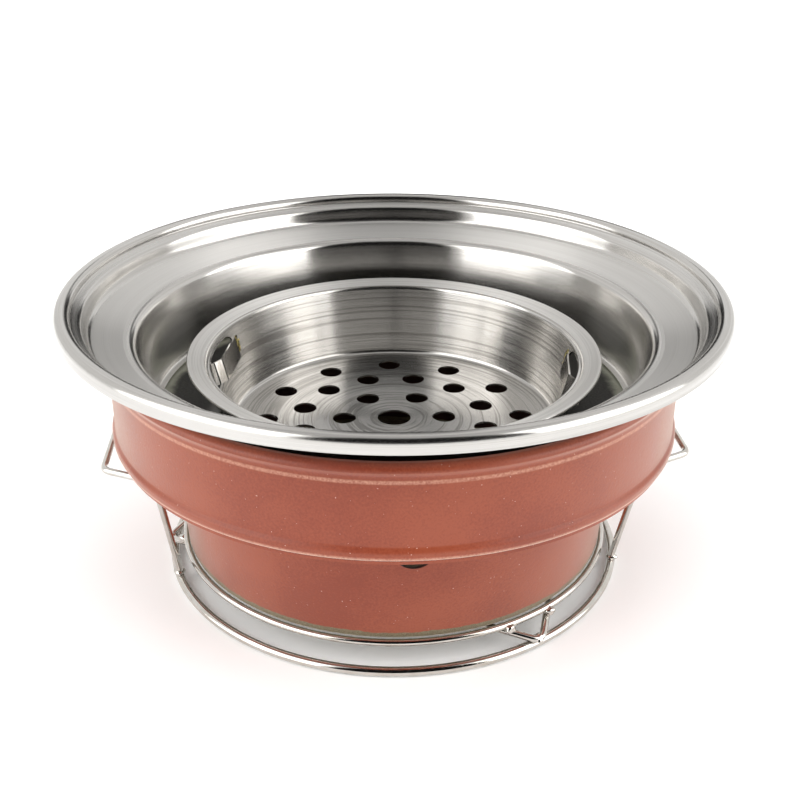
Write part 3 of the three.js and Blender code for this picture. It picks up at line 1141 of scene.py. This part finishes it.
@dataclass
class EnamelShell:
    """Lower drum with its wide shoulder, and the band that stands on the shoulder.

    Sizes are in millimetres and angles in degrees. A hole's columns and rows belong to the grid
    round it, and the pale edges are the bead and the rim, where the enamel is drawn thin and a
    highlight is painted along them.
    """

    base_radius: float = 114.4
    mouth_radius: float = 118.5
    drum_height: float = 64.2
    corner: float = 2.0
    shoulder_bend: float = 2.4
    shoulder_radius: float = 146.5
    sheet: float = 1.6
    band_radius: float = 146.8
    band_height: float = 47.0
    bead_bulge: float = 1.6
    bead_height: float = 5.0
    rim_bulge: float = 1.2
    rim_bend: float = 3.4
    rim_lip: float = 4.6
    seat_flange: float = 9.5
    hole_diameter: float = 20.0
    hole_crown: float = 2.6
    hole_count: int = 5
    hole_pitch: float = 22.5
    first_hole: float = -85.0
    columns_per_hole: int = 24
    rows_per_hole: int = 16
    hole_margin: float = 2.0
    hub_radius: float = 10.0
    bottom_rings: int = 12
    neck_bend: float = 4.0
    rim_foot_bend: float = 2.0
    bead_flat: float = 0.2
    longest_drum_run: float = 4.0
    longest_band_run: float = 3.0
    thin_coat_highlights: tuple[tuple[float, float], ...] = ((82.6, 1.7), (120.0, 1.3))

    def drum_face(self) -> Array:
        """Outer face of the drum's section, from the axis to the edge of the shoulder.

        Returns:
            The (n, 2) radii and heights of its points.
        """
        return bent_outline([
            (0.0, 0.0),
            (self.base_radius, 0.0, self.corner),
            (self.mouth_radius, self.drum_height, self.shoulder_bend),
            (self.shoulder_radius, self.drum_height),
        ])

    def build_drum(self, finish: Material) -> None:
        """Makes the drum: a turned sheet with two banks of round air holes in its wall.

        Args:
            finish: its material.
        """
        foot = lowest("lower_drum")
        face = self.drum_face() + (0.0, foot)
        wall = longest_run_of(face[1:-2]) + 1
        columns = self.columns_per_hole
        segments = round(360 / self.hole_pitch) * columns
        offset = self.first_hole - self.hole_pitch / 2
        ends = (tuple(face[wall]), tuple(face[wall + 1]))
        band = PiercedBand(*ends, segments, offset, self.rows_per_hole)
        middle = foot + self.drum_height - self.hole_crown - self.hole_diameter / 2
        middle = (middle - band.start[1]) / (band.end[1] - band.start[1]) * band.length
        outline = circle(self.hole_diameter)
        low, high = middle - self.hole_diameter / 2 - self.hole_margin, band.length
        cells = [
            Cell((bank + i) * columns, columns, low, high, middle, outline)
            for bank in (0, round(180 / self.hole_pitch))
            for i in range(self.hole_count)
        ]
        work = Patchwork("pierced_drum")
        band.pierced(work, cells)
        azimuths = offset + 360.0 * np.arange(segments) / segments
        below = refined(face[1 : wall + 1], self.longest_drum_run)
        above = refined(face[wall + 1 :], self.longest_drum_run)
        work.add(around(below, azimuths), closed_rows=True)
        work.add(around(above, azimuths), closed_rows=True)
        radii = np.linspace(self.hub_radius, below[0, 0], self.bottom_rings)
        bottom = np.stack([radii, np.full_like(radii, foot)], axis=1)
        work.add(around(bottom, azimuths), closed_rows=True)
        work.fan(around(bottom[:1], azimuths)[:, 0], (0.0, 0.0, foot))
        drum = work.welded(inside=(0.0, 0.0, foot + self.drum_height / 2))
        given_wall(drum, self.sheet)
        smoothed(drum)
        dressed(drum, Body.SHELL, finish, "lower_drum")

    def build_band(self, finish: Material) -> None:
        """Makes the band: a bead at its foot, a plain face and a rim turned in at the top.

        Args:
            finish: its material.
        """
        inside = self.band_radius - self.sheet
        bead = self.band_radius + self.bead_bulge
        rim = self.band_radius + self.rim_bulge
        bead_round = (self.bead_height - self.bead_flat) / 2
        face_end = self.band_height - self.rim_bend - 2 * self.rim_bulge
        outer = bent_outline([
            (inside - self.seat_flange, 0.0),
            (bead, 0.0, bead_round),
            (bead, self.bead_height, bead_round),
            (self.band_radius, self.bead_height + self.bead_bulge, self.bead_bulge),
            (self.band_radius, face_end, self.neck_bend),
            (rim, face_end + 2 * self.rim_bulge, self.rim_foot_bend),
            (rim, self.band_height, self.rim_bend),
            (rim - self.rim_lip, self.band_height),
        ])
        inner = bent_outline([
            (inside - self.seat_flange, self.sheet),
            (inside, self.sheet, self.sheet),
            (inside, self.band_height - self.sheet, self.rim_bend - self.sheet),
            (rim - self.rim_lip, self.band_height - self.sheet),
        ])
        faces = [refined(face, self.longest_band_run) for face in (outer, inner)]
        section = np.concatenate([faces[0], faces[1][::-1]])
        band = turned_piece("beaded_band", section, lowest("upper_band"))
        dressed(band, Body.SHELL, finish, "upper_band")


@dataclass
class CharcoalPan:
    """Brushed pan with a pierced floor, a wide flange and two windows with lifting tongues.

    Sizes are in millimetres and angles in degrees. Each row of holes has a radius, a number of
    holes and the azimuth of its first one, before the floor's turn. A tongue's kink and hook have
    a length and the angle that the metal is turned outwards. A scar has an azimuth, a radius and
    a height.
    """

    floor_radius: float = 88.2
    mouth_radius: float = 98.2
    height: float = 43.3
    sheet: float = 1.0
    flange_width: float = 11.2
    flange_rise: float = 2.0
    flange_skirt: float = 2.6
    foot_bend: float = 4.0
    mouth_bend: float = 3.0
    edge_bend: float = 0.9
    centre_hole: float = 18.0
    hole: float = 12.6
    hole_rows: tuple[tuple[float, int, float], ...] = (
        (27.0, 6, 0.0),
        (50.3, 12, 15.0),
        (69.2, 12, 0.0),
    )
    row_edges: tuple[float, ...] = (13.0, 38.6, 59.7, 79.0)
    turn: float = 2.8
    window_azimuths: tuple[float, float] = (-5.4, 174.6)
    window_width: float = 47.0
    window_height: float = 17.5
    window_sill: float = 19.5
    window_top_corner: float = 8.0
    window_foot_corner: float = 2.0
    window_columns: int = 44
    tongue_height: float = 12.0
    tongue_above_sill: float = 2.0
    tongue_inward: float = 3.6
    tongue_flat: float = 28.7
    tongue_kink: tuple[float, float] = (6.9, 25.0)
    tongue_hook: tuple[float, float] = (6.5, 50.0)
    tongue_rooted: float = 1.0
    tongue_bend: float = 1.2
    tongue_rows: int = 12
    scar_behind_left: Place = (158.6, 95.0, 103.5)
    scar_behind_right: Place = (9.6, 95.0, 104.0)
    window_margin: float = 1.8
    floor_rows: int = 12
    wall_rows: int = 18
    longest_floor_run: float = 1.5
    longest_wall_run: float = 2.0
    longest_tongue_run: float = 1.2

    def steel(self) -> SpunSteel:
        """The pan's finish: coarser lines than the collar's, and scorched cuts behind the windows.

        Returns:
            The finish.
        """
        return SpunSteel(
            "pan_steel",
            gloss=0.15,
            dull=0.27,
            lines=2.0,
            satin=(98.5, 115.0),
            streaks=0.42,
            scars=(self.scar_behind_left, self.scar_behind_right),
        )

    @property
    def taper(self) -> float:
        """How far the wall widens for each millimetre of its height."""
        return (self.mouth_radius - self.floor_radius) / (self.height - self.flange_rise)

    def outer_face(self) -> Array:
        """Outer face of the pan's section, from the axis to the lower edge of the flange.

        Returns:
            The (n, 2) radii and heights of its points.
        """
        flange = self.mouth_radius + self.flange_width - self.sheet
        return bent_outline([
            (0.0, 0.0),
            (self.floor_radius, 0.0, self.foot_bend),
            (self.mouth_radius, self.height - self.flange_rise - self.sheet, self.mouth_bend),
            (flange, self.height - self.sheet, self.edge_bend),
            (flange, self.height - self.flange_skirt),
        ], chord=0.3)

    def window_outline(self) -> Array:
        """Outline of a window about its centre, wide corners at the top and small ones below.

        Returns:
            The (n, 2) points of the loop: around the pan and up its wall.
        """
        wide, high = self.window_width / 2, self.window_height / 2
        top, foot = self.window_top_corner, self.window_foot_corner
        corners = [
            (0.0, -high),
            (wide, -high, foot),
            (wide, high, top),
            (-wide, high, top),
            (-wide, -high, foot),
            (0.0, -high),
        ]
        return refined(bent_outline(corners, chord=0.1), 0.2)[:-1]

    def add_floor(self, work: Patchwork, foot: float) -> None:
        """Adds the pierced floor: a hole in the middle and three rows of holes round it.

        Args:
            work: the pan.
            foot: height of its underside.
        """
        azimuths = self.turn + 360.0 * np.arange(SEGMENTS) / SEGMENTS
        hub = np.array([[self.centre_hole / 2, foot], [self.row_edges[0], foot]])
        work.add(around(refined(hub, self.longest_floor_run), azimuths), closed_rows=True)
        rows = zip(self.hole_rows, self.row_edges, self.row_edges[1:])
        for (radius, count, start), near, far in rows:
            columns = SEGMENTS // count
            offset = self.turn + start - 180.0 / count
            row = PiercedBand((near, foot), (far, foot), SEGMENTS, offset, self.floor_rows)
            cells = [
                Cell(i * columns, columns, 0.0, row.length, radius - near, circle(self.hole))
                for i in range(count)
            ]
            row.pierced(work, cells)

    def add_wall(self, work: Patchwork, foot: float) -> None:
        """Adds foot bend, wall with its windows, mouth bend and flange.

        Args:
            work: the pan.
            foot: height of its underside.
        """
        face = self.outer_face() + (0.0, foot)
        wall = longest_run_of(face[1:-3]) + 1
        offset = self.window_azimuths[0] - 180.0 * self.window_columns / SEGMENTS
        ends = (tuple(face[wall]), tuple(face[wall + 1]))
        band = PiercedBand(*ends, SEGMENTS, offset, self.wall_rows)
        slope = band.length / (band.end[1] - band.start[1])
        middle = (foot + self.window_sill + self.window_height / 2 - band.start[1]) * slope
        half = self.window_height / 2 + self.window_margin
        outline = self.window_outline()
        cells = [
            Cell(first, self.window_columns, middle - half, middle + half, middle, outline)
            for first in (0, SEGMENTS // 2)
        ]
        band.pierced(work, cells)
        step = 360.0 / SEGMENTS
        azimuths = offset + 360.0 * np.arange(SEGMENTS) / SEGMENTS
        foot_bend = face[1 : wall + 1]
        above = refined(face[wall + 1 :], self.longest_wall_run)
        work.add(around(foot_bend, azimuths), closed_rows=True)
        work.add(around(above, azimuths), closed_rows=True)
        inner = np.array([[self.row_edges[-1], foot]])
        shift = (self.turn - azimuths[0]) % step
        rings = [around(inner, azimuths + shift), around(foot_bend[:1], azimuths)]
        work.add(np.concatenate(rings, axis=1), closed_rows=True)

    def tongue_grid(self, azimuth: float, side: int, foot: float) -> Array:
        """Middle face of a tongue: its bent plan, carried upwards along the wall's taper.

        Args:
            azimuth: azimuth of its window, in degrees.
            side: side that its bent end points to, 1 towards larger azimuths.
            foot: height of the pan's underside.

        Returns:
            Grid of points, along the tongue and up it.
        """
        middle = self.window_sill + self.tongue_above_sill + self.tongue_height / 2
        root = self.floor_radius + self.taper * middle - self.tongue_inward
        start = np.array([root, -self.window_width / 2])
        corners = [start - (0.0, self.tongue_rooted), start + (0.0, self.tongue_flat)]
        for length, angle in (self.tongue_kink, self.tongue_hook):
            turn = math.radians(angle)
            corners.append(corners[-1] + length * np.array([math.sin(turn), math.cos(turn)]))
        bends = (0.0, self.tongue_bend, self.tongue_bend, 0.0)
        plan = bent_outline([(x, y, bend) for (x, y), bend in zip(corners, bends)], chord=0.25)
        plan = refined(plan, self.longest_tongue_run)
        up = np.linspace(-self.tongue_height / 2, self.tongue_height / 2, self.tongue_rows)
        x = plan[:, None, 0] + self.taper * up[None, :]
        y = side * np.broadcast_to(plan[:, None, 1], x.shape)
        turn = math.radians(azimuth)
        height = np.broadcast_to(foot + middle + up[None, :], x.shape)
        east = x * math.cos(turn) - y * math.sin(turn)
        north = x * math.sin(turn) + y * math.cos(turn)
        return np.stack([east, north, height], axis=2)

    def build(self, finish: Material) -> None:
        """Makes and dresses the pan and its tongues.

        Args:
            finish: the pan's material.
        """
        foot = lowest("charcoal_pan")
        work = Patchwork("brushed_pan")
        self.add_floor(work, foot)
        self.add_wall(work, foot)
        pan = work.welded(inside=(0.0, 0.0, foot + self.height / 2))
        given_wall(pan, self.sheet)
        smoothed(pan)
        dressed(pan, Body.PAN, finish, "charcoal_pan")
        names = ("tongue_right", "tongue_left")
        for name, azimuth, side in zip(names, self.window_azimuths, (-1, 1)):
            strip = Patchwork(name)
            strip.add(self.tongue_grid(azimuth, side, foot))
            tongue = strip.welded(inside=(0.0, 0.0, foot))
            given_wall(tongue, self.sheet)
            smoothed(tongue)
            folded = FoldedSteel(f"{name}_steel", azimuth, side).material()
            dressed(tongue, Body.PAN, folded)


@dataclass
class WireStand:
    """Two rings, three bent feet between them, and two bails.

    Sizes are in millimetres and angles in degrees. Each kind of weld lies some way outside and
    above its ring, and its ball is lumpy and a little squashed.
    """

    base_radius: float = 122.5
    cradle_radius: float = 115.8
    base_wire: float = 4.8
    wire: float = 3.6
    foot_azimuths: tuple[float, ...] = (-54.5, -174.5, 65.5)
    foot_half: float = 48.0
    foot_run: float = 30.2
    foot_slope: float = 0.25
    foot_overhang: float = 2.0
    foot_bend: float = 6.0
    handle_azimuths: tuple[float, float] = (4.2, 184.2)
    leg_spread: float = 73.0
    shoulder_spread: float = 118.0
    bar_length: float = 92.0
    leg_lean: float = 5.2
    bar_radius: float = 148.8
    shoulder_round: float = 10.0
    bar_round: float = 4.5
    sides: int = 24
    bend_points: int = 17
    longest_run: float = 2.0
    weld: float = 2.9
    weld_points: tuple[int, int] = (20, 11)
    weld_lumps: tuple[float, float] = (0.14, 0.1)
    weld_squash: float = 0.8
    foot_weld: tuple[float, float] = (1.4, 1.2)
    arm_weld: tuple[float, float] = (1.5, -1.2)
    leg_weld: tuple[float, float] = (0.3, 0.5)

    @property
    def foot_corner(self) -> float:
        """Distance from the axis to the corner where the lines of a foot's arms meet."""
        reach = self.foot_bend / 2 * math.cos(math.radians(self.foot_half))
        return self.base_radius + self.foot_overhang + reach

    def build_rings(self, finish: Material) -> None:
        """Makes the two rings of round wire.

        Args:
            finish: their material.
        """
        rings = (
            ("heavy_ring", "base_ring", self.base_radius, self.base_wire),
            ("light_ring", "cradle_ring", self.cradle_radius, self.wire),
        )
        for name, node, radius, wire in rings:
            section = circle(wire, self.sides) + (radius, 0.0)
            piece = turned_piece(name, section, lowest(node) + wire / 2)
            dressed(piece, Body.STAND, finish, node)

    def bent_wire(
        self,
        name: str,
        corners: Sequence[Array],
        bends: Sequence[float],
        azimuth: float,
    ) -> Piece:
        """Makes a wire with its bends drawn as parabolas that touch both runs.

        Args:
            name: name of the piece.
            corners: ends and corners of the wire's axis, in its own frame, with +X outwards.
            bends: how far each bend reaches along its runs.
            azimuth: azimuth that the frame is turned to, in degrees.

        Returns:
            The wire's object.
        """
        share = np.linspace(0.0, 1.0, self.bend_points)[:, None]
        runs = [corners[0][None]]
        for before, corner, after, bend in zip(corners, corners[1:], corners[2:], bends):
            start = corner + (before - corner) / np.linalg.norm(before - corner) * bend
            end = corner + (after - corner) / np.linalg.norm(after - corner) * bend
            middle = 2 * corner * share * (1 - share)
            runs.append(start * (1 - share) ** 2 + middle + end * share**2)
        path = refined(np.concatenate([*runs, corners[-1][None]]), self.longest_run)
        cos, sin = math.cos(math.radians(azimuth)), math.sin(math.radians(azimuth))
        path = path @ np.array([[cos, sin, 0.0], [-sin, cos, 0.0], [0.0, 0.0, 1.0]])
        work = Patchwork(name)
        tube = carried(path, self.wire / 2, self.sides)
        work.add(tube, closed_columns=True)
        for end in (0, -1):
            work.fan(tube[end], path[end])
        piece = work.welded()
        smoothed(piece, 50.0)
        return piece

    def build(self, finish: Material) -> None:
        """Makes and dresses the whole stand.

        Args:
            finish: its material.
        """
        self.build_rings(finish)
        self.build_feet(finish)
        self.build_handles(finish)
        self.build_welds(finish)

    def build_feet(self, finish: Material) -> None:
        """Makes the hairpin feet, whose arms rise inwards from the bend on the heavy ring.

        Args:
            finish: their material.
        """
        half = math.radians(self.foot_half)
        inner = self.foot_corner - self.foot_run * math.cos(half)
        aside = self.foot_run * math.sin(half)
        for i, azimuth in enumerate(self.foot_azimuths, start=1):
            node = f"foot_wire_{i}"
            low = lowest(node) + self.wire / 2 - self.foot_slope * self.foot_bend / 2
            high = low + self.foot_slope * self.foot_run
            plan = ((inner, -aside, high), (self.foot_corner, 0.0, low), (inner, aside, high))
            corners = [np.array(corner) for corner in plan]
            piece = self.bent_wire(f"hairpin_foot_{i}", corners, [self.foot_bend], azimuth)
            dressed(piece, Body.STAND, finish, node)

    def weld_places(self) -> list[Place]:
        """Where the feet and the bails meet the rings.

        The arms of a foot start at the corner distance c from the axis and leave it at the half
        angle h; they cross the light ring, of radius r, after the run t with
        (c - t cos h)^2 + (t sin h)^2 = r^2.

        Returns:
            Azimuth in degrees, radius and height of each weld.
        """
        half = math.radians(self.foot_half)
        across = self.foot_corner * math.cos(half)
        run = across - math.sqrt(across**2 - self.foot_corner**2 + self.cradle_radius**2)
        arm = math.atan2(run * math.sin(half), self.foot_corner - run * math.cos(half))
        leg = math.asin(self.leg_spread / 2 / self.base_radius)
        heavy = (self.base_radius, self.base_wire)
        light = (self.cradle_radius, lowest("cradle_ring") + self.wire / 2)
        places = []
        for azimuth in self.foot_azimuths:
            places += self.welds_at(azimuth, 0.0, heavy, self.foot_weld)
            places += self.welds_at(azimuth, arm, light, self.arm_weld)
        for azimuth in self.handle_azimuths:
            places += self.welds_at(azimuth, leg, heavy, self.leg_weld)
        return places

    @staticmethod
    def welds_at(
        azimuth: float,
        swing: float,
        ring: tuple[float, float],
        shift: tuple[float, float],
    ) -> list[Place]:
        """The weld at an azimuth, or the two at equal angles from it.

        Args:
            azimuth: the azimuth, in degrees.
            swing: angle between it and a weld, in radians.
            ring: radius and height of the ring there.
            shift: how far the weld lies outside and above them.

        Returns:
            Azimuth in degrees, radius and height of each weld.
        """
        radius, height = ring[0] + shift[0], ring[1] + shift[1]
        signs = (-1, 1) if swing else (1,)
        return [(azimuth + sign * math.degrees(swing), radius, height) for sign in signs]

    def build_welds(self, finish: Material) -> None:
        """Makes the welds: a lumpy ball of metal at each place.

        In the direction (a, e) weld number i reaches its radius times
        1 + p sin(3 a + i) cos(2 e) cos(e) + q cos(5 e + 2 i), for the two lumps p and q.

        Args:
            finish: their material.
        """
        work = Patchwork("weld_spots")
        across, up = self.weld_points
        a = np.linspace(0.0, 2 * math.pi, across, endpoint=False)[:, None]
        e = np.linspace(-math.pi / 2, math.pi / 2, up)[None, :]
        for i, (azimuth, radius, height) in enumerate(self.weld_places()):
            lump = self.weld_lumps[0] * np.sin(3 * a + i) * np.cos(2 * e) * np.cos(e)
            reach = self.weld * (1 + lump + self.weld_lumps[1] * np.cos(5 * e + 2 * i))
            turn = math.radians(azimuth)
            work.add(np.stack([
                radius * math.cos(turn) + reach * np.cos(e) * np.cos(a),
                radius * math.sin(turn) + reach * np.cos(e) * np.sin(a),
                height + self.weld_squash * reach * np.sin(e),
            ], axis=2), closed_rows=True)
        piece = work.welded()
        smoothed(piece, 60.0)
        dressed(piece, Body.STAND, finish)

    def build_handles(self, finish: Material) -> None:
        """Makes the bails: two legs that lean outwards and a bar beyond the band.

        Args:
            finish: their material.
        """
        half = self.leg_spread / 2
        leg_foot = math.sqrt(self.base_radius**2 - half**2)
        for node, azimuth in zip(("handle_right", "handle_left"), self.handle_azimuths):
            low, high = (corner.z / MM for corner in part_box(node))
            bar = high - self.wire / 2
            tilt = math.atan2(math.hypot(self.leg_lean, self.shoulder_spread / 2 - half), bar)
            foot = low + self.wire / 2 * math.sin(tilt)
            sides = [
                [
                    np.array([leg_foot, sign * half, foot]),
                    np.array([leg_foot + self.leg_lean, sign * self.shoulder_spread / 2, bar]),
                    np.array([self.bar_radius, sign * self.bar_length / 2, bar]),
                ]
                for sign in (-1, 1)
            ]
            corners = [*sides[0], *sides[1][::-1]]
            bends = [self.shoulder_round, self.bar_round, self.bar_round, self.shoulder_round]
            piece = self.bent_wire(f"{node}_wire", corners, bends, azimuth)
            dressed(piece, Body.STAND, finish, node)


# ---------------------------------------------------------------- studio


@dataclass(frozen=True)
class Panel:
    """A soft-edged patch of the light tent, bright or dark. Angles are in degrees.

    Attributes:
        azimuth: azimuth of its middle.
        half_width: how far it reaches to each side.
        low: elevation of its lower edge.
        high: elevation of its upper edge.
        soft: width of its fading edge.
        level: its brightness.
    """

    azimuth: float
    half_width: float
    low: float
    high: float
    soft: float
    level: float


class Tent(Graph):
    """Light that comes from all round, as a function of its direction alone."""

    def __init__(self, tree: bpy.types.NodeTree) -> None:
        """Takes the world's node tree and reads the direction's parts in it.

        Args:
            tree: the node tree.
        """
        super().__init__(tree)
        direction = self.node("TexCoord").outputs["Generated"]
        self.heading = self.vector("NORMALIZE", self.vector("MULTIPLY", direction, (1.0, 1.0, 0.0)))
        self.rise = self.parts(direction)[2]

    def with_panel(self, light: float | Socket, panel: Panel) -> Socket:
        """Light with one more panel in front of it.

        The panel's share is the product of three eased steps: one on the cosine of the angle
        between the direction's heading and the panel's, and two on the sine of the elevation.

        Args:
            light: brightness so far.
            panel: the panel.

        Returns:
            The new brightness.
        """
        half = panel.soft / 2
        azimuth = math.radians(panel.azimuth)
        middle = (math.cos(azimuth), math.sin(azimuth), 0.0)
        widths = np.clip([panel.half_width + half, panel.half_width - half], 0.0, 180.0)
        bounds = np.cos(np.radians(widths)).tolist()
        share = self.eased(self.vector("DOT_PRODUCT", self.heading, middle), *bounds)
        bounds = np.sin(np.radians([panel.low - half, panel.low + half])).tolist()
        share = self.math("MULTIPLY", share, self.eased(self.rise, *bounds))
        if panel.high + half < 90.0:
            bounds = np.sin(np.radians([panel.high + half, panel.high - half])).tolist()
            share = self.math("MULTIPLY", share, self.eased(self.rise, *bounds))
        change = self.math("SUBTRACT", panel.level, light)
        return self.math("MULTIPLY_ADD", share, change, light)

    def finish(self, light: Socket, backdrop: float, colour: Colour) -> None:
        """Sends the light to the world's background, with an even backdrop where it is looked at.

        Args:
            light: brightness that the pieces receive.
            backdrop: brightness that shows behind them.
            colour: colour of both.
        """
        seen = self.node("LightPath").outputs["Is Camera Ray"]
        light = self.math("MULTIPLY_ADD", seen, self.math("SUBTRACT", backdrop, light), light)
        background = self.nodes["Background"]
        background.inputs[0].default_value = colour
        self.links.new(light, background.inputs[1])


@dataclass
class Studio:
    """Pale floor, soft light and the camera at the photograph's viewing angle."""

    camera_place: Place = (0.00312, -0.55557, 0.35797)
    camera_target: Place = (0.00312, 0.0, 0.08638)
    lens: float = 51.556
    roll: float = 0.34
    floor_size: float = 12.0
    floor_height: float = -0.05
    floor_glow: float = 0.13
    tent_level: float = 1.0
    tent_colour: Colour = (1.0, 0.99, 0.975, 1.0)
    backdrop: float = 1.0
    overhead_power: float = 22.0
    overhead_size: float = 2.6
    overhead_height: float = 2.2
    panels: tuple[Panel, ...] = (
        Panel(azimuth=0.0, half_width=181.0, low=58.0, high=95.0, soft=14.0, level=0.7),
        Panel(azimuth=-153.0, half_width=30.0, low=-20.0, high=52.0, soft=4.0, level=3.6),
        Panel(azimuth=-18.5, half_width=28.5, low=-20.0, high=52.0, soft=4.0, level=3.6),
        Panel(azimuth=-82.5, half_width=35.5, low=-30.0, high=78.0, soft=4.0, level=0.01),
        Panel(azimuth=90.0, half_width=14.0, low=-30.0, high=18.0, soft=3.0, level=0.02),
        Panel(azimuth=90.0, half_width=4.0, low=-30.0, high=31.0, soft=3.0, level=0.02),
    )

    def build_camera(self) -> None:
        """Sets up the camera, rolled a little about its own axis."""
        data = bpy.data.cameras.new("camera")
        data.lens = self.lens
        data.sensor_width = 36.0
        data.clip_start = 0.01
        camera = bpy.data.objects.new("camera", data)
        place = Vector(self.camera_place)
        forward = (Vector(self.camera_target) - place).normalized()
        right = forward.cross(Vector((0.0, 0.0, 1.0))).normalized()
        above = right.cross(forward)
        turn = math.radians(self.roll)
        x_axis = right * math.cos(turn) + above * math.sin(turn)
        y_axis = above * math.cos(turn) - right * math.sin(turn)
        axes = Matrix((x_axis, y_axis, -forward)).transposed()
        camera.matrix_world = Matrix.Translation(place) @ axes.to_4x4()
        bpy.context.scene.collection.objects.link(camera)
        bpy.context.scene.camera = camera
        bpy.context.scene.view_settings.view_transform = "Standard"

    def build_floor(self) -> None:
        """Lays the floor: a wide pale sheet with a matt finish."""
        half = self.floor_size / 2 / MM
        work = Patchwork("floor")
        x, y = np.meshgrid((-half, half), (-half, half), indexing="ij")
        work.add(np.stack([x, y, np.full_like(x, self.floor_height)], axis=2))
        floor = work.welded(inside=(0.0, 0.0, -half))
        recipe = Recipe("pale_floor")
        shade = recipe.spread(recipe.noise(recipe.place, 40.0, 3.0), 0.9, 0.92)
        colour = recipe.node("CombineColor", {0: shade, 1: shade, 2: shade}).outputs[0]
        recipe.finish(Emission_Color=grey(1.0), Emission_Strength=self.floor_glow)
        finish = recipe.finish(Base_Color=colour, Roughness=0.9, Specular_IOR_Level=0.1)
        floor.data.materials.append(finish)

    def build_light(self) -> None:
        """Surrounds the scene with a soft light tent: its pale walls, its panels and its gaps."""
        world = bpy.data.worlds.new("surround")
        bpy.context.scene.world = world
        world.use_nodes = True
        tent = Tent(world.node_tree)
        light: float | Socket = self.tent_level
        for panel in self.panels:
            light = tent.with_panel(light, panel)
        tent.finish(light, self.backdrop, self.tent_colour)
        lamp = bpy.data.lights.new("overhead", "AREA")
        lamp.shape = "DISK"
        lamp.size = self.overhead_size
        lamp.energy = self.overhead_power
        overhead = bpy.data.objects.new("overhead", lamp)
        overhead.location = (0.0, 0.0, self.overhead_height)
        overhead.visible_glossy = False
        bpy.context.scene.collection.objects.link(overhead)


def main() -> None:
    """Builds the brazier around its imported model, and the studio that it is shown in."""
    logging.basicConfig(level=logging.INFO, format="%(name)s: %(message)s")
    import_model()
    Collar().build(SpunSteel("spun_steel").material())
    pan = CharcoalPan()
    pan.build(pan.steel().material())
    Carrier().build(PressedSteel("carrier_steel").material())
    shell = EnamelShell()
    shell.build_drum(Enamel("drum_enamel", bare_below=19.2).material())
    shell.build_band(Enamel("band_enamel", thin_coat_highlights=shell.thin_coat_highlights).material())
    WireStand().build(PolishedWire("bright_wire").material())
    studio = Studio()
    studio.build_floor()
    studio.build_light()
    studio.build_camera()


if __name__ == "__main__":
    main()
